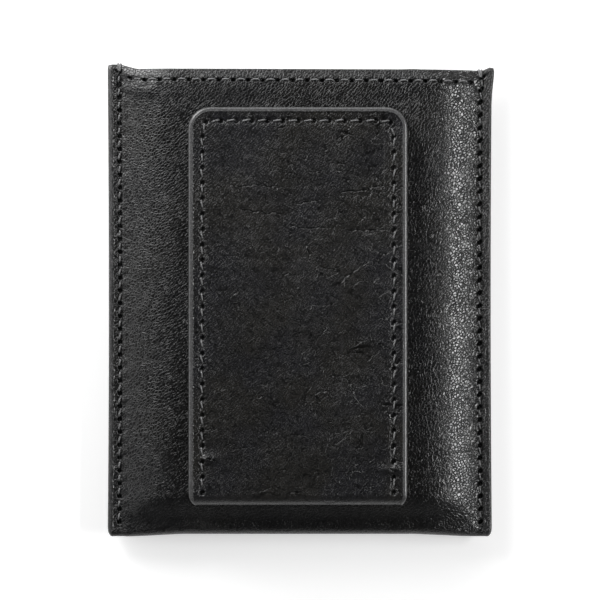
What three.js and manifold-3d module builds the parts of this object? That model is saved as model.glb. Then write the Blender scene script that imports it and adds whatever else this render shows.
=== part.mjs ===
// A front-pocket card case in black leather, with a magnetic money clip sewn to its back.
// Millimetres, +Z up. The case lies on its card side with the clip on top: X runs across it, +Y points to
// the mouth of the main pocket, and the origin is under its middle on the surface that it lies on.

import * as THREE from "three";
import { mergeVertices } from "three/addons/utils/BufferGeometryUtils.js";
import Module from "manifold-3d";

// The case: one piece of leather, folded at the bottom and sewn along both sides.
const CASE_WIDTH = 83.0;
const CASE_HEIGHT = 101.6;
const CASE_LEATHER = 0.9;
const CASE_CORNER = 1.2; // radius of the two bottom corners
const LINING = 0.2; // pocket lining cloth
const LINING_INSET = 0.6; // lining edge behind the leather edge
const GLUE = 0.05; // film between bonded layers

// The main pocket swells between the side seams.
const POCKET_GAP = 4.15;
const CROWN_SHOULDER = 12.0; // width of the slope beside each side seam
const CROWN_FOOT = 6.5; // length of the slope above the bottom fold
const FOLD_SHARE = 0.45; // how much of the swelling is left at the bottom fold
const MOUTH_DROP = 0.8; // the mouth's middle lies lower than its corners
const MOUTH_TAB = 2.0; // width of the step beside each mouth corner
const FOLD_RISE = 0.55; // the bottom fold's middle lies higher than its corners
const FOLD_EASE = 15.0; // length over which the bottom fold rises

// Stitching: every line of thread lies in a pressed groove.
const THREAD = 0.4;
const THREAD_SEAT = 0.06; // thread above the floor of a flat groove
const VEE_SEAT = 0.2; // thread above the bottom of a V-shaped groove
const STITCH_DIP = 0.05; // thread's rise and fall about its mean level
const GROOVE_DEPTH = 0.42;
const GROOVE_HALF = 0.5;
const SEAM_INSET = 2.45;
const SEAM_PITCH = 2.75;
const SEAM_FOOT = 3.0; // side seam's groove ends this far above the bottom edge
const HEM_INSET = 2.65;
const HEM_PITCH = 3.15;
const HEM_TURN = 5.8; // leather turned in at the mouth
const HEM_RAMP = 0.3; // length of the step at the turned edge
const HEM_CLEAR = 0.3; // lining starts below the turned edge

// The card side: a patch pocket of three stepped slots for cards of the standard size.
const CARD_LENGTH = 85.6;
const CARD_WIDTH = 54.0;
const CARD_EASE = 3.0; // slot longer than the card
const CARD_SHOWN = 8.0; // card left showing above its slot
const CARD_PLAY = 0.2; // slack between neighbouring slots
const SLOT_STEP = 8.5;
const SLOT_LAP = 9.0; // each strip reaches under the one before it
const SLOT_CLOTH = 0.12;
const CLOTH_LAP = 4.0; // cloth glued behind its strip
const CLOTH_TAIL = 1.5; // cloth below the floor of its slot
const PANEL_LEATHER = 0.8;
const STRIP_LEATHER = 0.55;
const PATCH_INSET = 5.3; // patch edge from the case's side edge
const PATCH_MARGIN = 2.2; // stitching from the patch edge
const PATCH_SHIFT = -0.6; // patch lower than the case's middle
const PATCH_CORNER = 3.4;
const PATCH_PITCH = 3.0;
const PANEL_GROOVE = 0.54; // deep enough to keep the thread clear of the table
const TACK_GROOVE = 0.36;
const TACK_SHORT = 1.0; // stitching stops this far from a slot's mouth

// The money clip: leather on filler board, folded over at the bottom, with a magnet in each leg.
const CLIP_WIDTH = 46.55;
const CLIP_LENGTH = 85.1;
const CLIP_SHIFT = -0.4; // clip left of the case's middle
const CLIP_FOOT = 7.05; // clip's fold above the case's bottom edge
const CLIP_CORNER = 4.5;
const CLIP_LEATHER = 0.8;
const CLIP_FACE = 0.6; // leather on the faces that grip the notes
const CLIP_FILLER = 0.8;
const CLIP_GRIP = 0.35; // gap between the two legs when shut
const CLIP_JOIN = 0.05; // parting line between a leg and the fold
const CLIP_STITCH_INSET = 2.85;
const CLIP_PITCH = 3.3;
const CLIP_GROOVE_HALF = 0.5;
const FACE_GROOVE = 0.4;
const MAGNET_WIDTH = 20.0;
const MAGNET_LENGTH = 10.0;
const MAGNET_INSET = 7.0; // magnet from the leg's free end
const MAGNET_CLEAR = 0.15;

// Fineness of the curved surfaces.
const SHOULDER_STEPS = 8;
const FOOT_STEPS = 4;
const FOLD_STEPS = 8;
const CORNER_STEPS = 5;
const THREAD_SIDES = 4;
const PLAIN_STEPS = 1; // steps of thread to a stitch: a plain line
const STITCH_STEPS = 2; // a line that rises and falls
const CROWN_STEPS = 4; // one that follows the crown as well

const wasm = await Module();
wasm.setup();

// Levels of the case's layers, from the surface that it lies on upwards.
const halfWidth = CASE_WIDTH / 2;
const halfHeight = CASE_HEIGHT / 2;
const seamX = halfWidth - SEAM_INSET;
const shoulderX = seamX - GROOVE_HALF;
const stripHeight = STRIP_LEATHER + GLUE + SLOT_CLOTH;
const midStripZ = PANEL_LEATHER + CARD_PLAY;
const topStripZ = midStripZ + stripHeight + CARD_PLAY;
const frontZ = topStripZ + stripHeight + CARD_PLAY;
const frontLiningZ = frontZ + CASE_LEATHER + GLUE;
const rimLiningZ = frontLiningZ + LINING + GLUE; // back lining where the side seams pinch it
const rimBackZ = rimLiningZ + LINING + GLUE;
const crownRise = POCKET_GAP - GLUE;
const backZ = rimBackZ + crownRise + CASE_LEATHER; // outer face under the clip

// Levels of the clip's layers, and the middle of its fold.
const baseZ = backZ + GLUE;
const baseFillerZ = baseZ + CLIP_LEATHER + GLUE;
const baseFaceZ = baseFillerZ + CLIP_FILLER + GLUE;
const flapFaceZ = baseFaceZ + CLIP_FACE + CLIP_GRIP;
const flapFillerZ = flapFaceZ + CLIP_FACE + GLUE;
const flapZ = flapFillerZ + CLIP_FILLER + GLUE;
const clipTopZ = flapZ + CLIP_LEATHER;
const foldRadius = (clipTopZ - baseZ) / 2;
const foldZ = baseZ + foldRadius;
const foldY = -halfHeight + CLIP_FOOT + foldRadius;
const legStartY = foldY + CLIP_JOIN;
const legEndY = -halfHeight + CLIP_FOOT + CLIP_LENGTH;

// Materials

const material = (color, roughness, metalness = 0) =>
  new THREE.MeshStandardMaterial({ color, roughness, metalness });
const caseLeather = material(0x2b2a2b, 0.5);
const clipLeather = material(0x262526, 0.48);
const faceLeather = material(0x242324, 0.6);
const cardLeather = material(0x2a292a, 0.52);
const liningCloth = material(0x1b1b1d, 0.85);
const fillerBoard = material(0x3a332c, 0.9);
const magnetPlate = material(0xb9bbbd, 0.25, 1);
const blackThread = material(0x232325, 0.45);

// Shape helpers

const smooth = (share) => THREE.MathUtils.smoothstep(share, 0, 1);

// A closed sheet from two facing grids of points, rows by columns, one grid for each side.
function sheetGeometry(outer, inner) {
  const rows = outer.length;
  const columns = outer[0].length;
  const index = [];
  const at = (side, row, column) => (side * rows + row) * columns + column;
  const quad = (a, b, c, d) => index.push(a, b, c, a, c, d);
  for (let r = 0; r < rows - 1; r++) {
    for (let c = 0; c < columns - 1; c++) {
      quad(at(0, r, c), at(0, r + 1, c), at(0, r + 1, c + 1), at(0, r, c + 1));
      quad(at(1, r, c), at(1, r, c + 1), at(1, r + 1, c + 1), at(1, r + 1, c));
    }
    const last = columns - 1;
    quad(at(0, r, 0), at(1, r, 0), at(1, r + 1, 0), at(0, r + 1, 0));
    quad(at(0, r, last), at(0, r + 1, last), at(1, r + 1, last), at(1, r, last));
  }
  for (let c = 0; c < columns - 1; c++) {
    const last = rows - 1;
    quad(at(0, 0, c), at(0, 0, c + 1), at(1, 0, c + 1), at(1, 0, c));
    quad(at(0, last, c), at(1, last, c), at(1, last, c + 1), at(0, last, c + 1));
  }
  const geometry = new THREE.BufferGeometry().setFromPoints([...outer.flat(), ...inner.flat()]);
  geometry.setIndex(index);
  return geometry;
}

function toSolid(geometry) {
  const bare = geometry.clone();
  bare.deleteAttribute("normal");
  bare.deleteAttribute("uv");
  const merged = mergeVertices(bare);
  const mesh = new wasm.Mesh({
    numProp: 3,
    vertProperties: merged.getAttribute("position").array,
    triVerts: new Uint32Array(merged.index.array),
  });
  return new wasm.Manifold(mesh);
}

function cut(geometry, tool) {
  const mesh = toSolid(geometry).subtract(toSolid(tool)).getMesh();
  const result = new THREE.BufferGeometry();
  result.setAttribute("position", new THREE.BufferAttribute(mesh.vertProperties, 3));
  result.setIndex(new THREE.BufferAttribute(mesh.triVerts, 1));
  return result;
}

// A flat plate of the given outline, between two levels.
function plate(shape, lowZ, highZ) {
  const options = { depth: highZ - lowZ, bevelEnabled: false, curveSegments: CORNER_STEPS };
  return new THREE.ExtrudeGeometry(shape, options).translate(0, 0, lowZ);
}

function rectangle(lowX, highX, lowY, highY) {
  const corners = [[lowX, lowY], [highX, lowY], [highX, highY], [lowX, highY]];
  return new THREE.Shape(corners.map(([x, y]) => new THREE.Vector2(x, y)));
}

// The area between two open paths that run side by side, as the plan of a groove.
function bandBetween(outerPath, innerPath) {
  return new THREE.Shape([
    ...outerPath.getPoints(CORNER_STEPS),
    ...innerPath.getPoints(CORNER_STEPS).reverse(),
  ]);
}

// A line of stitches along a path in plan: the thread dips at each hole and rises between holes.
// levelAt gives the thread's mean level at a point.
class StitchLine extends THREE.Curve {
  constructor(path, pitch, levelAt) {
    super();
    this.path = path;
    this.levelAt = levelAt;
    this.stitches = Math.max(1, Math.round(path.getLength() / pitch));
    this.arcLengthDivisions = this.stitches * 8;
  }

  getPoint(t, target = new THREE.Vector3()) {
    const { x, y } = this.path.getPointAt(THREE.MathUtils.clamp(t, 0, 1));
    const dip = STITCH_DIP * Math.cos(2 * Math.PI * this.stitches * t);
    return target.set(x, y, this.levelAt(x, y) - dip);
  }
}

// Two or more steps to a stitch show its rise and fall; one gives a plain line of thread.
function threadGeometry(path, pitch, levelAt, stepsPerStitch) {
  const line = new StitchLine(path, pitch, levelAt);
  const round = new THREE.EllipseCurve(0, 0, THREAD / 2, THREAD / 2).getPoints(THREAD_SIDES).slice(1);
  return new THREE.ExtrudeGeometry(new THREE.Shape(round), {
    extrudePath: line,
    steps: line.stitches * stepsPerStitch,
    bevelEnabled: false,
  });
}

const straight = (x0, y0, x1, y1) => new THREE.Path([new THREE.Vector2(x0, y0), new THREE.Vector2(x1, y1)]);

// The swelling of the case

// Share of the full crown: none along the side seams, steepest beside them and rounding over to full in the
// middle, less at the bottom fold.
function crownShare(x, aboveFold) {
  const intoSlope = THREE.MathUtils.clamp((shoulderX - Math.abs(x)) / CROWN_SHOULDER, 0, 1);
  const across = Math.sin((Math.PI / 2) * intoSlope);
  const along = FOLD_SHARE + (1 - FOLD_SHARE) * smooth(aboveFold / CROWN_FOOT);
  return across * along;
}

const mouthY = (x) => halfHeight - MOUTH_DROP * smooth((shoulderX - Math.abs(x)) / MOUTH_TAB);

function bottomY(x) {
  const intoCorner = Math.max(0, Math.abs(x) - (halfWidth - CASE_CORNER));
  const corner = CASE_CORNER - Math.sqrt(Math.max(0, CASE_CORNER ** 2 - intoCorner ** 2));
  return -halfHeight + FOLD_RISE * smooth((seamX - Math.abs(x)) / FOLD_EASE) + corner;
}

const backInnerZ = (x, aboveFold) => rimBackZ + crownRise * crownShare(x, aboveFold);
const backOuterZ = (x, aboveFold) => backInnerZ(x, aboveFold) + CASE_LEATHER;

// The bottom fold is a half round across the thickness of the case.
const caseFoldRadius = (x) => (backOuterZ(x, 0) - frontZ) / 2;
const caseFoldY = (x) => bottomY(x) + caseFoldRadius(x);

// Columns of the case's skin from edge to edge, closer together where it curves.
function caseColumns() {
  const half = [];
  for (let i = SHOULDER_STEPS; i >= 0; i--) half.push(shoulderX - (CROWN_SHOULDER * i) / SHOULDER_STEPS);
  half.push(seamX, seamX + GROOVE_HALF, halfWidth - CASE_CORNER / 3, halfWidth - CASE_CORNER / 12, halfWidth);
  return [...half.map((x) => -x).reverse(), 0, ...half];
}

const footRows = () => Array.from({ length: FOOT_STEPS }, (_, i) => CROWN_FOOT * (1 - i / FOOT_STEPS));

// Outer leather: back, bottom fold and front in one skin, with a hem turned in at each side of the mouth.
function outerWrap() {
  const columns = caseColumns();
  const outer = [];
  const inner = [];
  const hemStops = [0, HEM_INSET - GROOVE_HALF, HEM_INSET, HEM_INSET + GROOVE_HALF, HEM_TURN];
  const hemRows = [...hemStops, HEM_TURN + HEM_RAMP];
  const hemExtra = (fromMouth) => (fromMouth <= HEM_TURN ? GLUE + LINING : 0);

  const groove = (x, y, fromMouth) => {
    const onSeam = Math.abs(x) === seamX && y > bottomY(x) + SEAM_FOOT;
    const onHem = fromMouth === HEM_INSET && Math.abs(x) < shoulderX;
    return onSeam || onHem ? GROOVE_DEPTH : 0;
  };
  const backPair = (x, y, fromMouth) => {
    const aboveFold = y - caseFoldY(x);
    return [
      new THREE.Vector3(x, y, backOuterZ(x, aboveFold) - groove(x, y, fromMouth)),
      new THREE.Vector3(x, y, backInnerZ(x, aboveFold) - hemExtra(fromMouth)),
    ];
  };
  const foldPair = (x, turn) => {
    const radius = caseFoldRadius(x);
    const around = (r) =>
      new THREE.Vector3(x, caseFoldY(x) - r * Math.sin(turn), frontZ + radius + r * Math.cos(turn));
    return [around(radius), around(radius - CASE_LEATHER)];
  };
  const frontPair = (x, y, fromMouth) => [
    new THREE.Vector3(x, y, frontZ + groove(x, y, fromMouth)),
    new THREE.Vector3(x, y, frontZ + CASE_LEATHER + hemExtra(fromMouth)),
  ];
  const addRow = (pairAt) => {
    const pairs = columns.map(pairAt);
    outer.push(pairs.map((pair) => pair[0]));
    inner.push(pairs.map((pair) => pair[1]));
  };

  hemRows.forEach((d) => addRow((x) => backPair(x, mouthY(x) - d, d)));
  footRows().forEach((d) => addRow((x) => backPair(x, caseFoldY(x) + d, Infinity)));
  for (let i = 0; i <= FOLD_STEPS; i++) addRow((x) => foldPair(x, (Math.PI * i) / FOLD_STEPS));
  addRow((x) => frontPair(x, bottomY(x) + SEAM_FOOT + GROOVE_HALF, Infinity));
  [...hemRows].reverse().forEach((d) => addRow((x) => frontPair(x, mouthY(x) - d, d)));
  return sheetGeometry(outer, inner);
}

// A lining sheet from the turned hem down to the bottom fold. lowZ gives the level of its lower face.
function liningSheet(lowZ) {
  const edge = halfWidth - LINING_INSET;
  const columns = [-edge, ...caseColumns().filter((x) => Math.abs(x) < edge), edge];
  const outer = [];
  const inner = [];
  const addRow = (yAt) => {
    const point = (x, rise) => new THREE.Vector3(x, yAt(x), lowZ(x, yAt(x) - caseFoldY(x)) + rise);
    outer.push(columns.map((x) => point(x, LINING)));
    inner.push(columns.map((x) => point(x, 0)));
  };
  addRow((x) => mouthY(x) - HEM_TURN - HEM_RAMP - HEM_CLEAR);
  [...footRows(), 0].forEach((d) => addRow((x) => caseFoldY(x) + d));
  return sheetGeometry(outer, inner);
}

const backLining = () => liningSheet((x, aboveFold) => backInnerZ(x, aboveFold) - GLUE - LINING);
const frontLining = () => liningSheet(() => frontLiningZ);

// Stitching of the case

const veeOffset = GROOVE_DEPTH - VEE_SEAT - THREAD / 2;
const backThreadZ = (x, y) => backOuterZ(x, y - caseFoldY(x)) - veeOffset;
const frontThreadZ = () => frontZ + veeOffset;

function sideSeamPath(side) {
  const x = side * seamX;
  return straight(x, mouthY(x) - GROOVE_HALF, x, bottomY(x) + SEAM_FOOT + 2 * GROOVE_HALF);
}

function hemPath() {
  const reach = shoulderX - MOUTH_TAB;
  const y = mouthY(0) - HEM_INSET;
  return straight(-reach, y, reach, y);
}

// The card side

const patchLowX = -halfWidth + PATCH_INSET;
const patchLength = CARD_LENGTH + CARD_EASE + 2 * PATCH_MARGIN;
const patchLowY = PATCH_SHIFT - patchLength / 2;
const patchHighY = PATCH_SHIFT + patchLength / 2;
const slotFloorX = (slot) => patchLowX + PATCH_MARGIN + slot * SLOT_STEP;
const slotMouthX = (slot) => slotFloorX(slot) + CARD_WIDTH - CARD_SHOWN;

// A U along the closed sides of the patch, drawn in from its edge, with both ends at endX.
function patchPath(target, inset, endX) {
  const lowX = patchLowX + inset;
  const lowY = patchLowY + inset;
  const highY = patchHighY - inset;
  const radius = PATCH_CORNER - inset;
  target.moveTo(endX, highY);
  target.lineTo(lowX + radius, highY);
  target.absarc(lowX + radius, highY - radius, radius, Math.PI / 2, Math.PI, false);
  target.lineTo(lowX, lowY + radius);
  target.absarc(lowX + radius, lowY + radius, radius, Math.PI, 1.5 * Math.PI, false);
  target.lineTo(endX, lowY);
  return target;
}

// Outermost slot: a full panel, which the case lies on, with a groove for the seam around it.
function cardPanel() {
  const beyond = slotMouthX(0) + SLOT_STEP;
  const band = bandBetween(
    patchPath(new THREE.Path(), PATCH_MARGIN - GROOVE_HALF, beyond),
    patchPath(new THREE.Path(), PATCH_MARGIN + GROOVE_HALF, beyond),
  );
  const outline = patchPath(new THREE.Shape(), 0, slotMouthX(0));
  return cut(plate(outline, 0, PANEL_LEATHER), plate(band, -PANEL_GROOVE, PANEL_GROOVE));
}

const cardPanelSeam = () => patchPath(new THREE.Path(), PATCH_MARGIN, slotMouthX(0) - TACK_SHORT);

// A strip whose upper part shows above the slot before it, grooved at both ends for its tacks.
function slotStrip(slot, z) {
  const grooves = [patchLowY + PATCH_MARGIN, patchHighY - PATCH_MARGIN].map((y) => {
    const beyond = slotMouthX(slot) + SLOT_STEP;
    const plan = rectangle(slotMouthX(slot - 1), beyond, y - GROOVE_HALF, y + GROOVE_HALF);
    return plate(plan, z - TACK_GROOVE, z + TACK_GROOVE);
  });
  const plan = rectangle(slotMouthX(slot - 1) - SLOT_LAP, slotMouthX(slot), patchLowY, patchHighY);
  return grooves.reduce(cut, plate(plan, z, z + STRIP_LEATHER));
}

// Cloth that carries on from a strip's hidden edge down to the floor of its slot.
function slotCloth(slot, stripZ) {
  const lowX = slotFloorX(slot) - CLOTH_TAIL;
  const highX = slotMouthX(slot - 1) - SLOT_LAP + CLOTH_LAP;
  const z = stripZ + STRIP_LEATHER + GLUE;
  return plate(rectangle(lowX, highX, patchLowY, patchHighY), z, z + SLOT_CLOTH);
}

// Tack through one end of a strip, side 1 towards the mouth of the main pocket and -1 away from it.
function slotTack(slot, z, side) {
  const y = PATCH_SHIFT + side * (patchLength / 2 - PATCH_MARGIN);
  const path = straight(slotMouthX(slot - 1) + TACK_SHORT, y, slotMouthX(slot) - TACK_SHORT, y);
  return threadGeometry(path, PATCH_PITCH, () => z + TACK_GROOVE - THREAD_SEAT - THREAD / 2, STITCH_STEPS);
}

// The money clip

// A U along a leg, drawn in from its edge: rounded at the free end, with both ends at startY.
function legPath(target, inset, startY) {
  const lowX = CLIP_SHIFT - CLIP_WIDTH / 2 + inset;
  const highX = CLIP_SHIFT + CLIP_WIDTH / 2 - inset;
  const endY = legEndY - inset;
  const radius = CLIP_CORNER - inset;
  target.moveTo(highX, startY);
  target.lineTo(highX, endY - radius);
  target.absarc(highX - radius, endY - radius, radius, 0, Math.PI / 2, false);
  target.lineTo(lowX + radius, endY);
  target.absarc(lowX + radius, endY - radius, radius, Math.PI / 2, Math.PI, false);
  target.lineTo(lowX, startY);
  return target;
}

const legPlate = (lowZ, highZ) => plate(legPath(new THREE.Shape(), 0, legStartY), lowZ, highZ);

// A leg's leather with a groove for its stitching, cut to floorZ from the face at faceZ.
function groovedLeg(lowZ, highZ, faceZ, floorZ) {
  const band = bandBetween(
    legPath(new THREE.Path(), CLIP_STITCH_INSET - CLIP_GROOVE_HALF, foldY - CLIP_GROOVE_HALF),
    legPath(new THREE.Path(), CLIP_STITCH_INSET + CLIP_GROOVE_HALF, foldY - CLIP_GROOVE_HALF),
  );
  const beyondZ = 2 * faceZ - floorZ;
  return cut(legPlate(lowZ, highZ), plate(band, Math.min(floorZ, beyondZ), Math.max(floorZ, beyondZ)));
}

const magnetX = (inset) => [CLIP_SHIFT - MAGNET_WIDTH / 2 + inset, CLIP_SHIFT + MAGNET_WIDTH / 2 - inset];
const magnetY = (inset) => [
  legEndY - MAGNET_INSET - MAGNET_LENGTH + inset,
  legEndY - MAGNET_INSET - inset,
];

// Filler board of a leg, with a window for its magnet.
function filler(z) {
  const outline = legPath(new THREE.Shape(), 0, legStartY);
  outline.holes.push(rectangle(...magnetX(-MAGNET_CLEAR), ...magnetY(-MAGNET_CLEAR)));
  return plate(outline, z, z + CLIP_FILLER);
}

const magnet = (z) => plate(rectangle(...magnetX(0), ...magnetY(0)), z, z + CLIP_FILLER);

// Leather bent half round across the clip, as the hinge between its two legs.
function clipFold(outerRadius, thickness) {
  const section = new THREE.Shape();
  section.absarc(foldY, foldZ, outerRadius, Math.PI / 2, 1.5 * Math.PI, false);
  section.absarc(foldY, foldZ, outerRadius - thickness, 1.5 * Math.PI, Math.PI / 2, true);
  const options = { depth: CLIP_WIDTH, bevelEnabled: false, curveSegments: FOLD_STEPS };
  const acrossX = new THREE.Matrix4().makeBasis(
    new THREE.Vector3(0, 1, 0),
    new THREE.Vector3(0, 0, 1),
    new THREE.Vector3(1, 0, 0),
  );
  return new THREE.ExtrudeGeometry(section, options)
    .applyMatrix4(acrossX)
    .translate(CLIP_SHIFT - CLIP_WIDTH / 2, 0, 0);
}

// The U of stitches around a leg, at the given level.
function legThread(z) {
  const seam = legPath(new THREE.Path(), CLIP_STITCH_INSET, legStartY + CLIP_GROOVE_HALF);
  return threadGeometry(seam, CLIP_PITCH, () => z, STITCH_STEPS);
}

const outerThreadZ = clipTopZ - GROOVE_DEPTH + THREAD_SEAT + THREAD / 2;
const baseFaceTopZ = baseFaceZ + CLIP_FACE;
const baseThreadZ = baseFaceTopZ - FACE_GROOVE + THREAD_SEAT + THREAD / 2;
const bobbinThreadZ = flapFaceZ + FACE_GROOVE - THREAD_SEAT - THREAD / 2;

// Assembly

const cardCase = new THREE.Group();

function add(name, geometry, look) {
  const mesh = new THREE.Mesh(geometry, look);
  mesh.name = name;
  cardCase.add(mesh);
}

add("outer_wrap", outerWrap(), caseLeather);
add("back_lining", backLining(), liningCloth);
add("front_lining", frontLining(), liningCloth);
for (const [name, side] of [["left", -1], ["right", 1]]) {
  const seam = sideSeamPath(side);
  add(`${name}_seam_thread`, threadGeometry(seam, SEAM_PITCH, backThreadZ, STITCH_STEPS), blackThread);
  add(`${name}_seam_bobbin_thread`, threadGeometry(seam, SEAM_PITCH, frontThreadZ, PLAIN_STEPS), blackThread);
}
add("back_hem_thread", threadGeometry(hemPath(), HEM_PITCH, backThreadZ, CROWN_STEPS), blackThread);
add("front_hem_thread", threadGeometry(hemPath(), HEM_PITCH, frontThreadZ, PLAIN_STEPS), blackThread);

add("card_panel_low", cardPanel(), cardLeather);
const panelThreadZ = PANEL_GROOVE - THREAD_SEAT - THREAD / 2;
const panelThread = threadGeometry(cardPanelSeam(), PATCH_PITCH, () => panelThreadZ, STITCH_STEPS);
add("card_pocket_thread", panelThread, blackThread);
for (const [name, slot, z] of [["mid", 1, midStripZ], ["top", 2, topStripZ]]) {
  add(`card_strip_${name}`, slotStrip(slot, z), cardLeather);
  add(`slot_cloth_${name}`, slotCloth(slot, z), liningCloth);
  add(`${name}_slot_tack_upper`, slotTack(slot, z, 1), blackThread);
  add(`${name}_slot_tack_lower`, slotTack(slot, z, -1), blackThread);
}

add("clip_base_leather", legPlate(baseZ, baseZ + CLIP_LEATHER), clipLeather);
add("clip_base_filler", filler(baseFillerZ), fillerBoard);
add("clip_base_magnet", magnet(baseFillerZ), magnetPlate);
const baseFace = groovedLeg(baseFaceZ, baseFaceTopZ, baseFaceTopZ, baseFaceTopZ - FACE_GROOVE);
add("clip_base_face", baseFace, faceLeather);
add("clip_base_thread", legThread(baseThreadZ), blackThread);

add("clip_fold_leather", clipFold(foldRadius, CLIP_LEATHER), clipLeather);
add("clip_fold_face", clipFold(CLIP_GRIP / 2 + CLIP_FACE, CLIP_FACE), faceLeather);

add("clip_flap_leather", groovedLeg(flapZ, clipTopZ, clipTopZ, clipTopZ - GROOVE_DEPTH), clipLeather);
add("clip_flap_filler", filler(flapFillerZ), fillerBoard);
add("clip_flap_magnet", magnet(flapFillerZ), magnetPlate);
const flapFace = groovedLeg(flapFaceZ, flapFaceZ + CLIP_FACE, flapFaceZ, flapFaceZ + FACE_GROOVE);
add("clip_flap_face", flapFace, faceLeather);
add("clip_flap_thread", legThread(outerThreadZ), blackThread);
add("clip_flap_bobbin_thread", legThread(bobbinThreadZ), blackThread);

export default cardCase;
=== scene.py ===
"""A black leather card case with a magnetic money clip: its finished surfaces, on a pale studio floor.

Sizes are millimetres in the frame of the solids: X runs across the case, +Y points to the mouth of its main
pocket and +Z away from its card side. A sheet of leather or cloth is drawn flat, as it is cut, with its outer
face up, and a placement then bends it to where it lies.
"""

import logging
from collections.abc import Callable, Sequence
from dataclasses import dataclass, field, replace
from enum import Enum
from typing import Any, Protocol

import bmesh
import bpy
import numpy as np
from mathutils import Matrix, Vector


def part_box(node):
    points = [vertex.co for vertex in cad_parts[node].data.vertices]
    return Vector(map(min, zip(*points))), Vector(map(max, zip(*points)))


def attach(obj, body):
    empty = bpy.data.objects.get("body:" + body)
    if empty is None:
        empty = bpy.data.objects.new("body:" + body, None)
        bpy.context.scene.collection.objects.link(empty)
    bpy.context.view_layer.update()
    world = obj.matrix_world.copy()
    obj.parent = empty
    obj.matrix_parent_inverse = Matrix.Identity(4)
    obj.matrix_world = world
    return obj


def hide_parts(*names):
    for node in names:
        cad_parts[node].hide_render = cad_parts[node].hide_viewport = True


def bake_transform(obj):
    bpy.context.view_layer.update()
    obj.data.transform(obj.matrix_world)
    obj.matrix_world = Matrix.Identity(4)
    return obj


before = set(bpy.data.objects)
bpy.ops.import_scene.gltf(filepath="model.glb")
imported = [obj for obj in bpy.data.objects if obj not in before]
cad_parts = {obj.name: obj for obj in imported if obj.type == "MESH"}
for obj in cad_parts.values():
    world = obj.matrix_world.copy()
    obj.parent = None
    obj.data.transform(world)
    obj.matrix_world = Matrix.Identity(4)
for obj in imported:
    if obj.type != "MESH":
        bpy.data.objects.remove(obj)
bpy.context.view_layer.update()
LOG = logging.getLogger("card_case")

MM = 0.001
WELD = 2e-7  # points closer than this, in metres, are one point
Array = np.ndarray
Pair = tuple[float, float]
Colour = tuple[float, float, float]
Relief = Callable[[Array, Array, Array], Array]
Socket = bpy.types.NodeSocket
EVEN = (1.0, 1.0, 1.0)  # the same size along every axis
SIDES = (("left", -1.0), ("right", 1.0))


# Shape helpers


def smooth(share: Array) -> Array:
    """Eased step from 0 to 1: three times the share squared less twice its cube, held at the ends."""
    held = np.clip(share, 0.0, 1.0)
    return held * held * (3.0 - 2.0 * held)


def bell(offset: Array, half: float) -> Array:
    """Hump of height 1 at offset 0: e to the power of minus the square of offset over half."""
    return np.exp(-np.square(offset / half))


def eased(place: Array, start: float | Array, run: float) -> Array:
    """Eased step up along a place: 0 at the start, and 1 a run further on."""
    return smooth((place - start) / run)


def swell(x: Array, y: Array, cell: float, seed: int) -> Array:
    """Slow random swell: seeded heights on a square lattice, joined by eased steps along x and y.

    Args:
        x: First coordinate of the points.
        y: Second coordinate of the points.
        cell: Spacing of the lattice.
        seed: Seed of the heights.

    Returns:
        A height from -1 to 1 for each point.
    """
    size = 64
    heights = np.random.default_rng(seed).uniform(-1.0, 1.0, (size, size))
    column, row = np.floor(x / cell).astype(int), np.floor(y / cell).astype(int)
    right, up = smooth(x / cell - column), smooth(y / cell - row)
    low = heights[row % size, column % size] * (1 - right) + heights[row % size, (column + 1) % size] * right
    above = (row + 1) % size
    high = heights[above, column % size] * (1 - right) + heights[above, (column + 1) % size] * right
    return low * (1 - up) + high * up


def graded(stops: Sequence[float], spacings: Sequence[float], multiple: int) -> Array:
    """Stations from the first stop to the last, evenly spaced within each stretch.

    Args:
        stops: Ends of the stretches, in order.
        spacings: Widest spacing allowed in each stretch.
        multiple: Each stretch has a whole multiple of this many steps.

    Returns:
        The stations, with each stop among them once.
    """
    parts = [np.array(stops[:1], float)]
    for start, end, spacing in zip(stops[:-1], stops[1:], spacings):
        steps = multiple * int(np.ceil(abs(end - start) / spacing / multiple))
        parts.append(np.linspace(start, end, steps + 1)[1:])
    return np.concatenate(parts)


def even_points(path: Array, pitch: float) -> Array:
    """Points at an even pitch along a path, the pitch eased so that they end at its end.

    Args:
        path: Points of the path, in order.
        pitch: Spacing to come close to.

    Returns:
        The points.
    """
    run = np.concatenate([[0.0], np.cumsum(np.linalg.norm(np.diff(path, axis=0), axis=1))])
    at = np.linspace(0.0, run[-1], int(round(run[-1] / pitch)) + 1)
    return np.stack([np.interp(at, run, path[:, axis]) for axis in range(path.shape[1])], axis=1)


def arc(centre: Pair, radius: float, start: float, end: float, steps: int = 12) -> Array:
    """Points round an arc in plan, from the start angle to the end angle in degrees."""
    turn = np.radians(np.linspace(start, end, steps + 1))
    return np.stack([centre[0] + radius * np.cos(turn), centre[1] + radius * np.sin(turn)], axis=1)


def grid_faces(rows: int, columns: int, wrap: bool, first: int = 0) -> Array:
    """Quads between neighbouring rows of points, with the last column joined to the first if wrapped.

    Args:
        rows: Rows of points.
        columns: Points in a row.
        wrap: Whether a row closes on itself.
        first: Number of the first point.

    Returns:
        The quads, as point numbers.
    """
    ids = first + np.arange(rows * columns).reshape(rows, columns)
    if wrap:
        ids = np.concatenate([ids, ids[:, :1]], axis=1)
    return np.stack([ids[:-1, :-1], ids[:-1, 1:], ids[1:, 1:], ids[1:, :-1]], axis=-1).reshape(-1, 4)


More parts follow.
